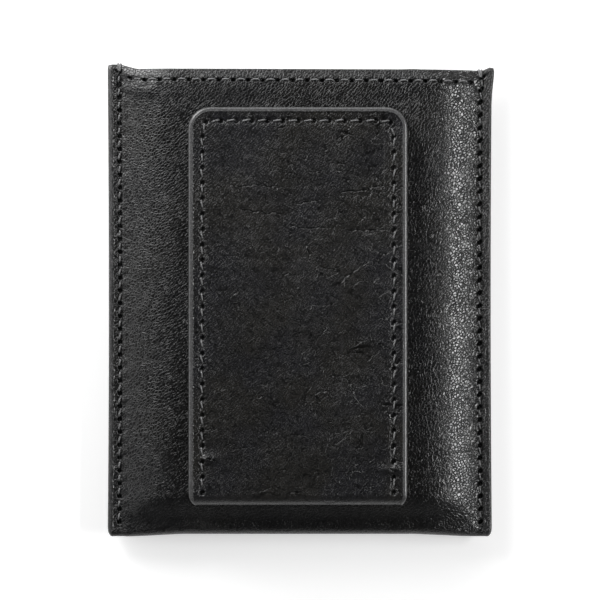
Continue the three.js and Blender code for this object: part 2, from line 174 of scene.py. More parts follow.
def field_faces(ids: Array, step: int) -> list[Array]:
    """Coarse cells of a fine lattice, whose cells on its border keep every fine point of that border.

    Args:
        ids: Point numbers on the fine lattice, rows by columns.
        step: Fine steps along the side of a coarse cell.

    Returns:
        Faces grouped by how many corners they have.
    """
    run = np.arange(step)
    ends = np.full(step, step)
    ring_row = np.concatenate([0 * run, run, ends, step - run])
    ring_column = np.concatenate([run, ends, step - run, 0 * run])
    is_corner = (ring_row % step == 0) & (ring_column % step == 0)
    last_row, last_column = ids.shape[0] - 1, ids.shape[1] - 1
    rows, columns = np.arange(0, last_row, step), np.arange(0, last_column, step)
    faces = []
    for row_part in (rows[:1], rows[1:-1], rows[-1:]):
        for column_part in (columns[:1], columns[1:-1], columns[-1:]):
            keep = is_corner.copy()
            keep |= (ring_row == 0) & (row_part[0] == 0)
            keep |= (ring_row == step) & (row_part[-1] + step == last_row)
            keep |= (ring_column == 0) & (column_part[0] == 0)
            keep |= (ring_column == step) & (column_part[-1] + step == last_column)
            at_row = row_part[:, None, None] + ring_row[keep]
            at_column = column_part[None, :, None] + ring_column[keep]
            faces.append(ids[at_row, at_column].reshape(-1, keep.sum()))
    return faces


@dataclass(frozen=True)
class Ridge:
    """A long hump or, below 0, a valley: its height, where its middle lies across, and its half width."""

    height: float
    at: float
    half: float

    def over(self, place: Array) -> Array:
        """Height across the ridge: a bell round its middle."""
        return self.height * bell(place - self.at, self.half)


@dataclass(frozen=True)
class Margin:
    """A strip along an edge: its height, how far in it keeps that, and the run over which it fades."""

    height: float
    full: float
    fade: float

    def over(self, inset: Array) -> Array:
        """Height at a distance in from the edge: one less an eased step."""
        return self.height * (1 - eased(inset, self.full, self.fade))


@dataclass(frozen=True)
class Lump:
    """A small oval hump or, below 0, a dent: its middle, its half sizes and its height."""

    x: float
    y: float
    half_x: float
    half_y: float
    height: float

    def over(self, x: Array, y: Array) -> Array:
        """Height over the flat: a bell across times a bell along."""
        return self.height * bell(x - self.x, self.half_x) * bell(y - self.y, self.half_y)


# Meshes


def new_piece(name: str, points: Array, faces: list[Array], marks: dict[str, Array]) -> bpy.types.Object:
    """Makes a smooth-shaded mesh object from points in millimetres.

    Args:
        name: Name of the piece.
        points: Points of the piece, one row each.
        faces: Groups of faces, each group with its own count of corners.
        marks: Values or vectors at the points, kept as attributes.

    Returns:
        The new object, at the origin.
    """
    used, place = np.unique(np.concatenate([group.ravel() for group in faces]), return_inverse=True)
    ends = np.cumsum([group.size for group in faces])[:-1]
    faces = [part.reshape(group.shape) for part, group in zip(np.split(place, ends), faces)]
    points, marks = points[used], {mark: values[used] for mark, values in marks.items()}
    mesh = bpy.data.meshes.new(name)
    mesh.from_pydata((points * MM).tolist(), [], [face for group in faces for face in group.tolist()])
    for mark, values in marks.items():
        kind, key = ("FLOAT", "value") if values.ndim == 1 else ("FLOAT_VECTOR", "vector")
        mesh.attributes.new(mark, kind, "POINT").data.foreach_set(key, values.astype(np.float32).ravel())
    mesh.polygons.foreach_set("use_smooth", np.ones(len(mesh.polygons), bool))
    piece = bpy.data.objects.new(name, mesh)
    bpy.context.scene.collection.objects.link(piece)
    return piece


def close_shell(piece: bpy.types.Object) -> None:
    """Welds the points where the parts of a shell meet, and turns its faces outwards.

    Args:
        piece: The piece.
    """
    shell = bmesh.new()
    shell.from_mesh(piece.data)
    bmesh.ops.remove_doubles(shell, verts=shell.verts, dist=WELD)
    bmesh.ops.recalc_face_normals(shell, faces=shell.faces)
    shell.to_mesh(piece.data)
    shell.free()


def tube(name: str, centre: Array, up: Array, radius: float, sides: int = 6) -> bpy.types.Object:
    """A round thread: a circle of the radius carried along the centre line, square to it, with closed ends.

    Args:
        name: Name of the piece.
        centre: Points of the centre line in millimetres.
        up: Direction away from the leather at each point.
        radius: Radius of the thread.
        sides: Sides of its section.

    Returns:
        The new object, with a UV map of the way along the thread and the way round it.
    """
    ahead = np.gradient(centre, axis=0)
    ahead /= np.linalg.norm(ahead, axis=1, keepdims=True)
    aside = np.cross(ahead, up)
    aside /= np.linalg.norm(aside, axis=1, keepdims=True)
    over = np.cross(aside, ahead)
    turn = np.linspace(0.0, 2.0 * np.pi, sides, endpoint=False)[None, :, None]
    rings = centre[:, None] + radius * (np.cos(turn) * over[:, None] + np.sin(turn) * aside[:, None])
    count = len(centre)
    ends = [np.arange(sides)[None, :], (count - 1) * sides + np.arange(sides)[None, ::-1]]
    walls = grid_faces(count, sides, wrap=True)[:, ::-1]
    piece = new_piece(name, rings.reshape(-1, 3), [walls, *ends], {})
    run = np.concatenate([[0.0], np.cumsum(np.linalg.norm(np.diff(centre, axis=0), axis=1))])
    corner_row = np.array([1, 1, 0, 0])
    corner_side = np.array([0, 1, 1, 0])
    row, side = np.divmod(np.arange((count - 1) * sides), sides)
    along = run[row[:, None] + corner_row]
    around = (side[:, None] + corner_side) / sides
    wall_map = np.stack([along, around], axis=-1).reshape(-1, 2)
    end_map = np.zeros((2 * sides, 2))
    layer = piece.data.uv_layers.new(name="run")
    layer.data.foreach_set("uv", np.concatenate([wall_map, end_map]).astype(np.float32).ravel())
    return piece


class Placement(Protocol):
    """Bends a flat sheet to where it lies."""

    def place(self, x: Array, y: Array, h: Array) -> Array:
        """Gives the place of points at x, y of the flat sheet and h above its inner face."""


@dataclass
class Sheet:
    """A closed sheet with rounded corners: a fine band round its outline and a coarser field inside it.

    Attributes:
        low: Lowest corner of the flat sheet.
        high: Highest corner of the flat sheet.
        corner: Radius of its corners.
        thickness: Thickness of the sheet.
        edge: How far in from the outline its rounded edge reaches.
        across: Fine stations along x, from the band's inner edge to the opposite one.
        along: Fine stations along y, in the same way.
        insets: Rows of the band on the outer face, from its inner edge outwards.
        outer_step: Fine steps to a cell of the outer field.
        inner_step: Fine steps to a cell of the inner field.
        corner_rays: Rows of points across each corner.
        edge_steps: Steps round the edge.
    """

    low: Pair
    high: Pair
    corner: float
    thickness: float
    edge: float
    across: Array
    along: Array
    insets: Array
    outer_step: int = 1
    inner_step: int = 4
    corner_rays: int = 11
    edge_steps: int = 8

    def corner_reach(self, turn: Array, inset: Array) -> Array:
        """Distance from a corner's inner end to the outline, along rays.

        A ray meets the straight side at the half size over its cosine, or the rounded corner where the
        distance to that corner's own centre equals its radius.

        Args:
            turn: Angles of the rays from the nearer side.
            inset: Insets of the loops.

        Returns:
            The reach, loops by rays.
        """
        size = (self.insets[0] - inset)[:, None]
        radius = np.minimum(np.maximum(self.corner - inset, 0.0)[:, None], size)
        cosine, sine = np.abs(np.cos(turn))[None, :], np.abs(np.sin(turn))[None, :]
        middle = size - radius
        straight = size / np.maximum(cosine, sine)
        spare = np.maximum(radius**2 - (middle * (cosine - sine)) ** 2, 0.0)
        rounded = middle * (cosine + sine) + np.sqrt(spare)
        on_side = np.minimum(cosine, sine) / np.maximum(cosine, sine) * size <= middle
        return np.where(on_side, straight, rounded)

    def loops(self, inset: Array) -> tuple[Array, Array]:
        """Closed loops at the given insets, anticlockwise from the low end of the high-x side.

        Args:
            inset: Insets of the loops.

        Returns:
            Their x and y, loops by points.
        """
        rays = np.linspace(0.0, np.pi / 2, self.corner_rays + 2)[1:-1]
        depth = inset[:, None]
        (low_x, low_y), (high_x, high_y) = self.low, self.high
        sides_x = [high_x - depth + 0 * self.along, self.across[::-1] + 0 * depth]
        sides_x += [low_x + depth + 0 * self.along, self.across + 0 * depth]
        sides_y = [self.along + 0 * depth, high_y - depth + 0 * self.across]
        sides_y += [self.along[::-1] + 0 * depth, low_y + depth + 0 * self.across]
        ends_x = [self.across[-1], self.across[0], self.across[0], self.across[-1]]
        ends_y = [self.along[-1], self.along[-1], self.along[0], self.along[0]]
        xs, ys = [], []
        for quarter in range(4):
            turn = rays + quarter * np.pi / 2
            reach = self.corner_reach(turn, inset)
            xs += [sides_x[quarter], ends_x[quarter] + reach * np.cos(turn)]
            ys += [sides_y[quarter], ends_y[quarter] + reach * np.sin(turn)]
        return np.concatenate(xs, axis=1), np.concatenate(ys, axis=1)

    def build(self, name: str, placement: Placement, relief: Relief, polish: Relief) -> bpy.types.Object:
        """Builds the sheet: band rows carried round the outline, then the outer and inner fields.

        Args:
            name: Name of the piece.
            placement: Where the sheet lies.
            relief: Height of the outer face's detail at x, y and inset.
            polish: How smooth and worn the outer face is, from 0 to 1.

        Returns:
            The new object.
        """
        turn = np.linspace(0.0, np.pi, self.edge_steps + 1)
        inner = self.insets[::-4]
        inset = np.concatenate([self.insets, self.edge * (1 - np.sin(turn)), inner])
        level = 0.5 * self.thickness * (1 + np.cos(turn))
        height = np.concatenate([0 * self.insets + self.thickness, level, 0 * inner])
        raised = np.concatenate([0 * self.insets + 1, np.maximum(np.cos(turn), 0), 0 * inner])
        inset[-1] = self.insets[0]
        x, y = self.loops(inset)
        depth = inset[:, None] + 0 * x
        h = height[:, None] + raised[:, None] * relief(x, y, depth)
        field_x, field_y = np.meshgrid(self.across, self.along)
        field_depth = np.full_like(field_x, self.insets[0])
        field_h = self.thickness + relief(field_x, field_y, field_depth)
        parts = [
            placement.place(x, y, h),
            placement.place(field_x, field_y, field_h),
            placement.place(field_x, field_y, 0 * field_h),
        ]
        smoothness = [polish(x, y, depth), polish(field_x, field_y, field_depth), 0 * field_h]
        ids = x.size + np.arange(field_x.size).reshape(field_x.shape)
        faces = [grid_faces(*x.shape, wrap=True)]
        faces += field_faces(ids, self.outer_step) + field_faces(ids + field_x.size, self.inner_step)
        points = np.concatenate([part.reshape(-1, 3) for part in parts])
        flat_x = np.concatenate([x.ravel(), field_x.ravel(), field_x.ravel()])
        flat_y = np.concatenate([y.ravel(), field_y.ravel(), field_y.ravel()])
        flat = np.stack([flat_x, flat_y, 0 * flat_x], axis=1)
        marks = {"polish": np.concatenate([part.ravel() for part in smoothness]), "flat": flat}
        piece = new_piece(name, points, faces, marks)
        close_shell(piece)
        return piece


def plain(x: Array, y: Array, inset: Array) -> Array:
    """No relief or polish anywhere."""
    return 0.0 * x


# Cloth: few rows, in a narrow band round nearly square corners
CLOTH_BAND = 1.0
CLOTH_CUT = {
    "corner": 0.3,
    "insets": np.array([CLOTH_BAND, 0.8, 0.6, 0.4, 0.2]),
    "corner_rays": 3,
    "edge_steps": 4,
}

# Stitches: distances from a hole are in half sizes of its oval, and others are shares of a stitch
CUP = Margin(1.0, 0.55, 0.45)
LIP = Ridge(1.0, 1.3, 0.3)
HOLE_REACH = 2.5
THREAD_RISE = 0.06
THREAD_CREST = 0.14
SLANT_VARIES = 0.25
LIFT_VARIES = 0.2


@dataclass
class StitchRun:
    """A line of stitches in the flat of a sheet.

    Attributes:
        holes: Places of the needle holes, in order.
        hole: Half length and half width of a hole.
        lean: How far the holes lean from the line, in degrees.
        depth: Depth of a hole.
        lip: Height of the leather pushed up round a hole.
        slant: How far a stitch starts to one side of the line and ends to the other, for all or for each.
        shift: How far the middle of a stitch lies to one side.
        shown: Shares of the way between two holes where a stitch comes into sight and goes out of it, for all
            or for each.
        lift: Height of the thread between holes.
        sink: How far under the leather's face the thread passes a hole.
        seed: Seed of the small differences between stitches.
        radius: Radius of the thread.
    """

    holes: Array
    hole: Pair = (0.62, 0.5)
    lean: float = 30.0
    depth: float = 0.7
    lip: float = 0.1
    slant: float | Array = 0.2
    shift: float = 0.0
    shown: tuple[float | Array, float | Array] = (0.2, 0.8)
    lift: float = 0.2
    sink: float = 1.15
    seed: int = 1
    radius: float = 0.2

    def heading(self) -> Array:
        """Unit direction of the line at each hole."""
        ahead = np.gradient(self.holes, axis=0)
        return ahead / np.linalg.norm(ahead, axis=1, keepdims=True)

    def dents(self, x: Array, y: Array) -> Array:
        """Relief of the holes: each an oval cup with a raised lip, leaning from the line.

        The share is the distance from the nearest hole, in half sizes of its oval. The cup is the depth times
        one less an eased step up the share, and the lip is a bell just outside it.

        Args:
            x: First coordinates in the flat.
            y: Second coordinates in the flat.

        Returns:
            Height of the relief.
        """
        shape = x.shape
        flat = np.stack([x.ravel(), y.ravel()], axis=1)
        reach = HOLE_REACH * max(self.hole)
        low, high = self.holes.min(axis=0) - reach, self.holes.max(axis=0) + reach
        near = np.flatnonzero(np.all((flat > low) & (flat < high), axis=1))
        height = np.zeros(len(flat))
        if len(near) == 0:
            return height.reshape(shape)
        ahead = self.heading()
        turn = np.radians(self.lean)
        long = np.cos(turn) * ahead + np.sin(turn) * np.stack([-ahead[:, 1], ahead[:, 0]], axis=1)
        away = flat[near, None] - self.holes[None]
        forward = np.sum(away * long[None], axis=2) / self.hole[0]
        sideways = (away[..., 1] * long[None, :, 0] - away[..., 0] * long[None, :, 1]) / self.hole[1]
        share = np.sqrt(forward**2 + sideways**2).min(axis=1)
        height[near] = self.lip * LIP.over(share) - self.depth * CUP.over(share)
        return height.reshape(shape)

    def thread(self, name: str, placement: Placement, level: float) -> bpy.types.Object:
        """Thread of the line: it comes up at the edge of each hole, arches over and dives at the next.

        Between two holes the way along is the share t. An eased step at each end carries the thread up from
        under the hole, and where it shows it arches by one less the square of its way from the middle. It
        crosses from one side of the line to the other on the way.

        Args:
            name: Name of the piece.
            placement: Where the sheet lies.
            level: Height of the leather's face along the line.

        Returns:
            The new object.
        """
        count = len(self.holes) - 1
        start, end, slant = (np.broadcast_to(part, count)[:, None] for part in (*self.shown, self.slant))
        middle = 0.5 * (start + end)
        rising = [0.5 * start, start, start + THREAD_RISE, start + THREAD_CREST]
        falling = [end - THREAD_CREST, end - THREAD_RISE, end, 0.5 + 0.5 * end]
        share = np.concatenate([0.0 * start, *rising, middle, *falling], axis=1)
        vary = np.random.default_rng(self.seed).normal(0.0, 1.0, (count, 2))
        ahead = np.diff(self.holes, axis=0)
        side = np.stack([-ahead[:, 1], ahead[:, 0]], axis=1) / np.linalg.norm(ahead, axis=1, keepdims=True)
        arch = np.clip(1 - np.square((share - middle) / (middle - start)), 0.0, 1.0)
        slant = slant * (1 + SLANT_VARIES * vary[:, :1])
        offset = slant * (1 - 2 * share) * (share > 0) + self.shift * arch
        points = self.holes[:-1, None] + ahead[:, None] * share[..., None] + side[:, None] * offset[..., None]
        rise = eased(share, start - THREAD_RISE, 2 * THREAD_RISE)
        rise = rise * eased(-share, -end - THREAD_RISE, 2 * THREAD_RISE)
        h = level - self.sink * (1 - rise) + self.lift * (1 + LIFT_VARIES * vary[:, 1:]) * arch * rise
        flat = np.concatenate([points.reshape(-1, 2), self.holes[-1:]])
        heights = np.concatenate([h.ravel(), [level - self.sink]])
        centre = placement.place(flat[:, 0], flat[:, 1], heights)
        up = placement.place(flat[:, 0], flat[:, 1], heights + 0.5) - centre
        return tube(name, centre, up, self.radius)


# Finishes


class Bench:
    """Lays out the nodes of one material, or of the world."""

    def __init__(self, owner: bpy.types.Material | bpy.types.World) -> None:
        """Starts an empty layout on the owner's node tree.

        Args:
            owner: The material or the world.
        """
        owner.use_nodes = True
        self.owner = owner
        self.tree = owner.node_tree
        self.tree.nodes.clear()

    @classmethod
    def named(cls, name: str) -> "Bench":
        """Starts an empty material of that name."""
        return cls(bpy.data.materials.new(name))

    def add(self, kind: str, inputs: dict[str | int, Any], **settings: Any) -> bpy.types.Node:
        """Adds a node.

        Args:
            kind: Blender's name for the node type.
            inputs: Values for its sockets, or the sockets to link to them.
            **settings: Properties of the node.

        Returns:
            The node.
        """
        node = self.tree.nodes.new(kind)
        for key, value in settings.items():
            setattr(node, key, value)
        for key, value in inputs.items():
            if isinstance(value, Socket):
                self.tree.links.new(value, node.inputs[key])
            else:
                node.inputs[key].default_value = value
        return node

    def maths(self, operation: str, first: Any, second: Any = 0.0, third: Any = 0.0) -> Socket:
        """Result of a Math node."""
        return self.add("ShaderNodeMath", {0: first, 1: second, 2: third}, operation=operation).outputs[0]

    def spread(self, value: Any, low: float, high: float, to_low: float, to_high: float) -> Socket:
        """A value carried from one range to another, held at the ends."""
        ranges = {1: low, 2: high, 3: to_low, 4: to_high}
        return self.add("ShaderNodeMapRange", {0: value, **ranges}, clamp=True).outputs[0]

    def shade(self, factor: Any, dark: Any, light: Any) -> Socket:
        """A colour between two others, each given by its three parts or by a socket."""
        ends = [end if isinstance(end, Socket) else (*end[:3], 1.0) for end in (dark, light)]
        return self.add("ShaderNodeMix", {0: factor, 6: ends[0], 7: ends[1]}, data_type="RGBA").outputs[2]

    def stretched(self, where: Socket, turn: float, scale: Sequence[float]) -> Socket:
        """A place turned about Z, by degrees, and then stretched along each axis."""
        turned = self.add("ShaderNodeMapping", {"Vector": where, "Rotation": (0.0, 0.0, np.radians(turn))})
        return self.add("ShaderNodeMapping", {"Vector": turned.outputs[0], "Scale": tuple(scale)}).outputs[0]

    def spot(self, turn: float = 0.0, scale: Sequence[float] = EVEN) -> Socket:
        """Place on the object in millimetres, turned and then stretched.

        Args:
            turn: Turn about Z, in degrees.
            scale: Stretch along each axis.

        Returns:
            The place.
        """
        where = self.add("ShaderNodeTexCoord", {}).outputs["Object"]
        sized = self.add("ShaderNodeMapping", {"Vector": where, "Scale": (1 / MM,) * 3})
        return self.stretched(sized.outputs[0], turn, scale)

    def flat(self, turn: float = 0.0, scale: Sequence[float] = EVEN) -> Socket:
        """Place on the flat sheet in millimetres, turned and then stretched."""
        where = self.add("ShaderNodeAttribute", {}, attribute_name="flat").outputs["Vector"]
        return self.stretched(where, turn, scale)

    def noise(self, vector: Any, scale: float, detail: float = 2.0, rough: float = 0.5) -> Socket:
        """Value of a Noise texture."""
        inputs = {"Vector": vector, "Scale": scale, "Detail": detail, "Roughness": rough}
        return self.add("ShaderNodeTexNoise", inputs).outputs["Fac"]

    def warp(self, where: Socket, scale: float, detail: float, reach: float) -> Socket:
        """A place pushed along x and y by a noise, by up to the reach.

        Args:
            where: The place.
            scale: Scale of the noise.
            detail: Its detail.
            reach: Longest push.

        Returns:
            The pushed place.
        """
        push = self.add("ShaderNodeTexNoise", {"Vector": where, "Scale": scale, "Detail": detail})
        inputs = {0: push.outputs["Color"], 1: (reach, reach, 0.0), 2: where}
        return self.add("ShaderNodeVectorMath", inputs, operation="MULTIPLY_ADD").outputs[0]

    def border(self, where: Socket, cells: float) -> Socket:
        """Distance from the border of an uneven cell, in cells."""
        inputs = {"Vector": where, "Scale": cells}
        return self.add("ShaderNodeTexVoronoi", inputs, feature="DISTANCE_TO_EDGE").outputs["Distance"]

    def bump(self, height: Any) -> Socket:
        """Normal of a relief whose height is in millimetres."""
        return self.add("ShaderNodeBump", {"Height": height, "Distance": MM, "Strength": 1.0}).outputs[0]

    def finish(self, inputs: dict[str | int, Any]) -> bpy.types.Material:
        """Ends the material with a Principled shader.

        Args:
            inputs: Inputs of the shader.

        Returns:
            The material.
        """
        shader = self.add("ShaderNodeBsdfPrincipled", inputs)
        self.add("ShaderNodeOutputMaterial", {"Surface": shader.outputs[0]})
        return self.owner


@dataclass(frozen=True)
class Crease:
    """A mark in the flat of a leather: a narrow bowed line that fades towards its ends.

    Attributes:
        x: Middle of the line, across.
        y: Middle of the line, down from the leather's end.
        half: Half its length.
        turn: How steeply it rises to the right, in degrees.
        bow: How far it bows, in widths.
        width: Half its width.
        beat: Spacing of its dots, or 0 for an unbroken line.
        fall: Strength that is left at half its width.
    """

    x: float
    y: float
    half: float
    turn: float
    bow: float = 0.0
    width: float = 0.13
    beat: float = 0.0
    fall: float = 0.37

    def strength(self, bench: Bench, where: Socket) -> Socket:
        """Strength from 0 to 1: a bell across the bowed line, less the square of the way to its ends.

        Args:
            bench: Layout of the material.
            where: Place on the flat sheet.

        Returns:
            The strength.
        """
        size = {"Location": (self.x, self.y, 0.0), "Scale": (self.half, self.width, 1.0)}
        turn = {"Rotation": (0.0, 0.0, np.radians(-self.turn))}
        own = bench.add("ShaderNodeMapping", {"Vector": where, **size, **turn}, vector_type="TEXTURE")
        parts = bench.add("ShaderNodeSeparateXYZ", {0: own.outputs[0]})
        ahead = bench.maths("MULTIPLY", parts.outputs[0], parts.outputs[0])
        aside = bench.maths("MULTIPLY_ADD", ahead, self.bow, parts.outputs[1])
        across = bench.maths("POWER", self.fall, bench.maths("MULTIPLY", aside, aside))
        mark = bench.maths("MULTIPLY", across, bench.spread(ahead, 0.3, 1.0, 1.0, 0.0))
        if self.beat == 0:
            return mark
        phase = bench.maths("MULTIPLY", parts.outputs[0], 2 * np.pi * self.half / self.beat)
        dots = bench.spread(bench.maths("SINE", phase), -0.4, 0.4, 0.0, 1.0)
        return bench.maths("MULTIPLY", mark, dots)


@dataclass(frozen=True)
class Leather:
    """Finished black leather: fine pebbles drawn out along one diagonal, creases and polished edges.

    Attributes:
        name: Name of the finish.
        dark: Colour in the valleys of the grain and in creases: a painted shade.
        light: Colour on worn places and on the pebbles' raised tops, lighter than the painted shade in the
            gaps.
        cool: The same, in patches that look bluer.
        rim: Colour of polished edges, lighter partly from burnishing and partly as painted sheen.
        cells: Pebbles to a millimetre.
        stretch: How drawn out a pebble is along the diagonal.
        turn: Direction of the grain, in degrees.
        grain: Height of the pebbles.
        gap: Width of the gap round a pebble, in pebbles.
        shade_gap: Width of the painted shade in the gap round a pebble, in pebbles.
        painted_gap_shade: How much lighter a pebble's top is than the painted shade in its gap, from 0 to 1.
        uneven: Height of the slower waves that tilt one pebble from the next.
        crease: Depth of the creases.
        crease_turn: Direction of the fine creases, in degrees.
        crease_cells: Fine creases to a millimetre, along and across their direction.
        crease_drift: How much denser the fine creases are for each millimetre to the right, and along.
        crease_strength: Strength of the fine creases, from 0 to 1.
        crease_line: Width of a fine crease, in cells between creases.
        crease_painted_shade: Share of its colour that the hide keeps in a crease, where the darkening is a
            painted shade.
        crease_rough: Roughness in a crease.
        wander: How far the single creases wander.
        wear: How far slow patches of wear lighten the hide, from 0 to 1.
        rough: Roughness on the pebbles' tops and in the valleys.
        polish_rough: Roughness of polished edges.
        speck: How strongly the grain shows in polished edges, as pale pebble tops that are partly a painted
            glint.
        track_shine: How pale the dotted lines are, from 0 to 1.
        creases: Creases of their own.
        tracks: Pale dotted lines left by the sewing foot.
    """

    name: str
    dark: Colour = (0.0014, 0.0014, 0.0015)
    light: Colour = (0.0098, 0.0092, 0.0085)
    cool: Colour = (0.0087, 0.0088, 0.0096)
    rim: Colour = (0.08, 0.08, 0.081)
    cells: float = 2.0
    stretch: float = 0.7
    turn: float = 40.0
    grain: float = 0.048
    gap: float = 0.25
    shade_gap: float = 0.36
    painted_gap_shade: float = 0.75
    uneven: float = 0.03
    crease: float = 0.03
    crease_turn: float = 35.0
    crease_cells: Pair = (0.16, 0.5)
    crease_drift: Pair = (0.0, 0.0)
    crease_strength: float = 0.65
    crease_line: float = 0.045
    crease_painted_shade: float = 0.05
    crease_rough: float = 0.1
    wander: float = 1.6
    wear: float = 0.3
    rough: Pair = (0.22, 0.32)
    polish_rough: float = 0.2
    speck: float = 0.6
    track_shine: float = 0.7
    creases: tuple[Crease, ...] = ()
    tracks: tuple[Crease, ...] = ()

    def fine_creases(self, bench: Bench) -> Socket:
        """Broken creases: borders of long uneven cells, kept only in some places, from 0 to 1.

        Args:
            bench: Layout of the material.

        Returns:
            Their strength.
        """
        spot = bench.flat(self.crease_turn)
        warped = bench.warp(spot, 0.45, 4.0, 3.2)
        cell = bench.add("ShaderNodeMapping", {"Vector": warped, "Scale": (*self.crease_cells, 0.2)})
        line = bench.spread(bench.border(cell.outputs[0], 1.0), 0.0, self.crease_line, 1.0, 0.0)
        parts = bench.add("ShaderNodeSeparateXYZ", {0: bench.flat()})
        where = bench.noise(spot, 0.22, 3.0, 0.6)
        for part, drift in zip(parts.outputs, self.crease_drift):
            where = bench.maths("MULTIPLY_ADD", part, drift, where)
        return bench.maths("MULTIPLY", line, bench.spread(where, 0.44, 0.6, 0.0, self.crease_strength))

    def marks(self, bench: Bench, found: Sequence[Crease]) -> Socket | float:
        """Strongest of the given marks, along lines that wander a little to both sides.

        Args:
            bench: Layout of the material.
            found: The marks.

        Returns:
            Their strength, from 0 to 1.
        """
        mark = 0.0
        if not found:
            return mark
        spot = bench.flat()
        centred = {0: bench.warp(spot, 0.6, 3.0, self.wander), 1: (self.wander / 2, self.wander / 2, 0.0)}
        where = bench.add("ShaderNodeVectorMath", centred, operation="SUBTRACT").outputs[0]
        for crease in found:
            mark = bench.maths("MAXIMUM", crease.strength(bench, spot if crease.beat else where), mark)
        return mark

    def material(self) -> bpy.types.Material:
        """Builds the material: flat-topped pebbles with painted shade in the gaps round them and in creases,
        smooth where worn, with worn edges lighter partly from burnishing and partly as painted sheen.

        Returns:
            The material.
        """
        bench = Bench.named(self.name)
        spot = bench.flat(self.turn, (self.stretch, 1.0, 1.0))
        border = bench.border(bench.warp(spot, 1.4, 3.0, 0.18), self.cells)
        gap = bench.spread(border, 0.0, self.gap, 1.0, 0.0)
        dome = bench.maths("MULTIPLY_ADD", bench.maths("MULTIPLY", gap, gap), -1.0, 1.0)
        patch = bench.spread(bench.noise(spot, 0.12, 3.0), 0.35, 0.68, 0.85, 1.1)
        crease = bench.maths("MAXIMUM", self.fine_creases(bench), self.marks(bench, self.creases))
        track = self.marks(bench, self.tracks)
        polish = bench.add("ShaderNodeAttribute", {}, attribute_name="polish").outputs["Fac"]
        height = bench.maths("MULTIPLY", bench.maths("MULTIPLY", dome, patch), self.grain)
        height = bench.maths("MULTIPLY_ADD", bench.noise(spot, 1.3, 1.0), self.uneven, height)
        height = bench.maths("MULTIPLY", height, bench.spread(crease, 0.3, 1.0, 1.0, 0.2))
        height = bench.maths("MULTIPLY_ADD", crease, -self.crease, height)
        height = bench.maths("MULTIPLY", height, bench.spread(polish, 0.5, 1.0, 1.0, 0.12))
        worn = bench.spread(bench.noise(spot, 0.3, 4.0), 0.3, 0.7, 0.0, self.wear)
        # Painted shade: the gap round each pebble is darkened in the colour.
        shaded = bench.spread(border, 0.0, self.shade_gap, 0.0, 1.0)
        tone = bench.maths("MULTIPLY_ADD", shaded, self.painted_gap_shade, worn)
        # Painted shade: creases are darkened in the colour.
        tone = bench.maths("MULTIPLY", tone, bench.spread(crease, 0.0, 1.0, 1.0, self.crease_painted_shade))
        rough = bench.spread(dome, 0.0, 1.0, self.rough[1], self.rough[0])
        for place, least in ((crease, self.crease_rough), (polish, self.polish_rough)):
            rough = bench.add("ShaderNodeMix", {0: place, 2: rough, 3: least}).outputs[0]
        hue = bench.spread(bench.noise(bench.flat(), 0.07, 3.0), 0.42, 0.58, 0.0, 1.0)
        hide = bench.shade(tone, self.dark, bench.shade(hue, self.light, self.cool))
        # Polished edges and sewing-foot tracks go towards the rim colour: partly burnishing, partly a painted
        # sheen on beads and folds.
        rubbed_and_sheen = bench.maths("MULTIPLY_ADD", track, self.track_shine, polish)
        rubbed_and_sheen = bench.maths("MULTIPLY", rubbed_and_sheen, bench.spread(dome, 0.3, 1.0, 1 - self.speck, 1.0))
        return bench.finish({
            "Base Color": bench.shade(rubbed_and_sheen, hide, self.rim),
            "Roughness": rough,
            "Normal": bench.bump(height),
        })


@dataclass(frozen=True)
class PaintedEdge:
    """Cut edge of laminated leather under a burnished coat of paint."""

    name: str
    dark: Colour = (0.012, 0.012, 0.012)
    light: Colour = (0.03, 0.03, 0.03)

    def material(self) -> bpy.types.Material:
        """Builds the material: faint strokes along the layers and a soft gloss.

        Returns:
            The material.
        """
        bench = Bench.named(self.name)
        layers = bench.noise(bench.spot(0.0, (0.25, 0.25, 3.0)), 1.0, 4.0, 0.6)
        height = bench.maths("MULTIPLY", layers, 0.03)
        return bench.finish({
            "Base Color": bench.shade(layers, self.dark, self.light),
            "Roughness": bench.spread(layers, 0.3, 0.7, 0.3, 0.42),
            "Normal": bench.bump(height),
        })


@dataclass(frozen=True)
class Thread:
    """Waxed polyester sewing thread, two plies twisted together."""

    name: str
    dark: Colour = (0.012, 0.012, 0.013)
    # Pale grey of the plies' crests: a painted highlight on black thread.
    light: Colour = (0.46, 0.46, 0.462)
    twist: float = 0.55  # length of one turn of the plies

    def material(self) -> bpy.types.Material:
        """Builds the material: slanting bands along the thread's own map, with loose fibres over them; the
        pale bands are a painted highlight on the black thread's plies.

        Returns:
            The material.
        """
        bench = Bench.named(self.name)
        run = bench.add("ShaderNodeUVMap", {}, uv_map="run").outputs[0]
        turns = bench.add("ShaderNodeMapping", {"Vector": run, "Scale": (1 / self.twist, 1.0, 1.0)})
        parts = bench.add("ShaderNodeSeparateXYZ", {0: turns.outputs[0]})
        phase = bench.maths("ADD", parts.outputs[0], parts.outputs[1])
        wave = bench.maths("SINE", bench.maths("MULTIPLY", phase, 4 * np.pi))
        ply_and_highlight = bench.spread(wave, -1.0, 1.0, 0.0, 1.0)
        fibre = bench.noise(bench.spot(0.0, (4.0, 4.0, 4.0)), 3.0, 3.0, 0.6)
        tone = bench.maths("MULTIPLY", ply_and_highlight, fibre)
        return bench.finish({
            "Base Color": bench.shade(tone, self.dark, self.light),
            "Roughness": bench.spread(fibre, 0.3, 0.7, 0.28, 0.42),
            "Normal": bench.bump(bench.maths("MULTIPLY", ply_and_highlight, 0.05)),
            "Specular IOR Level": 0.7,
        })


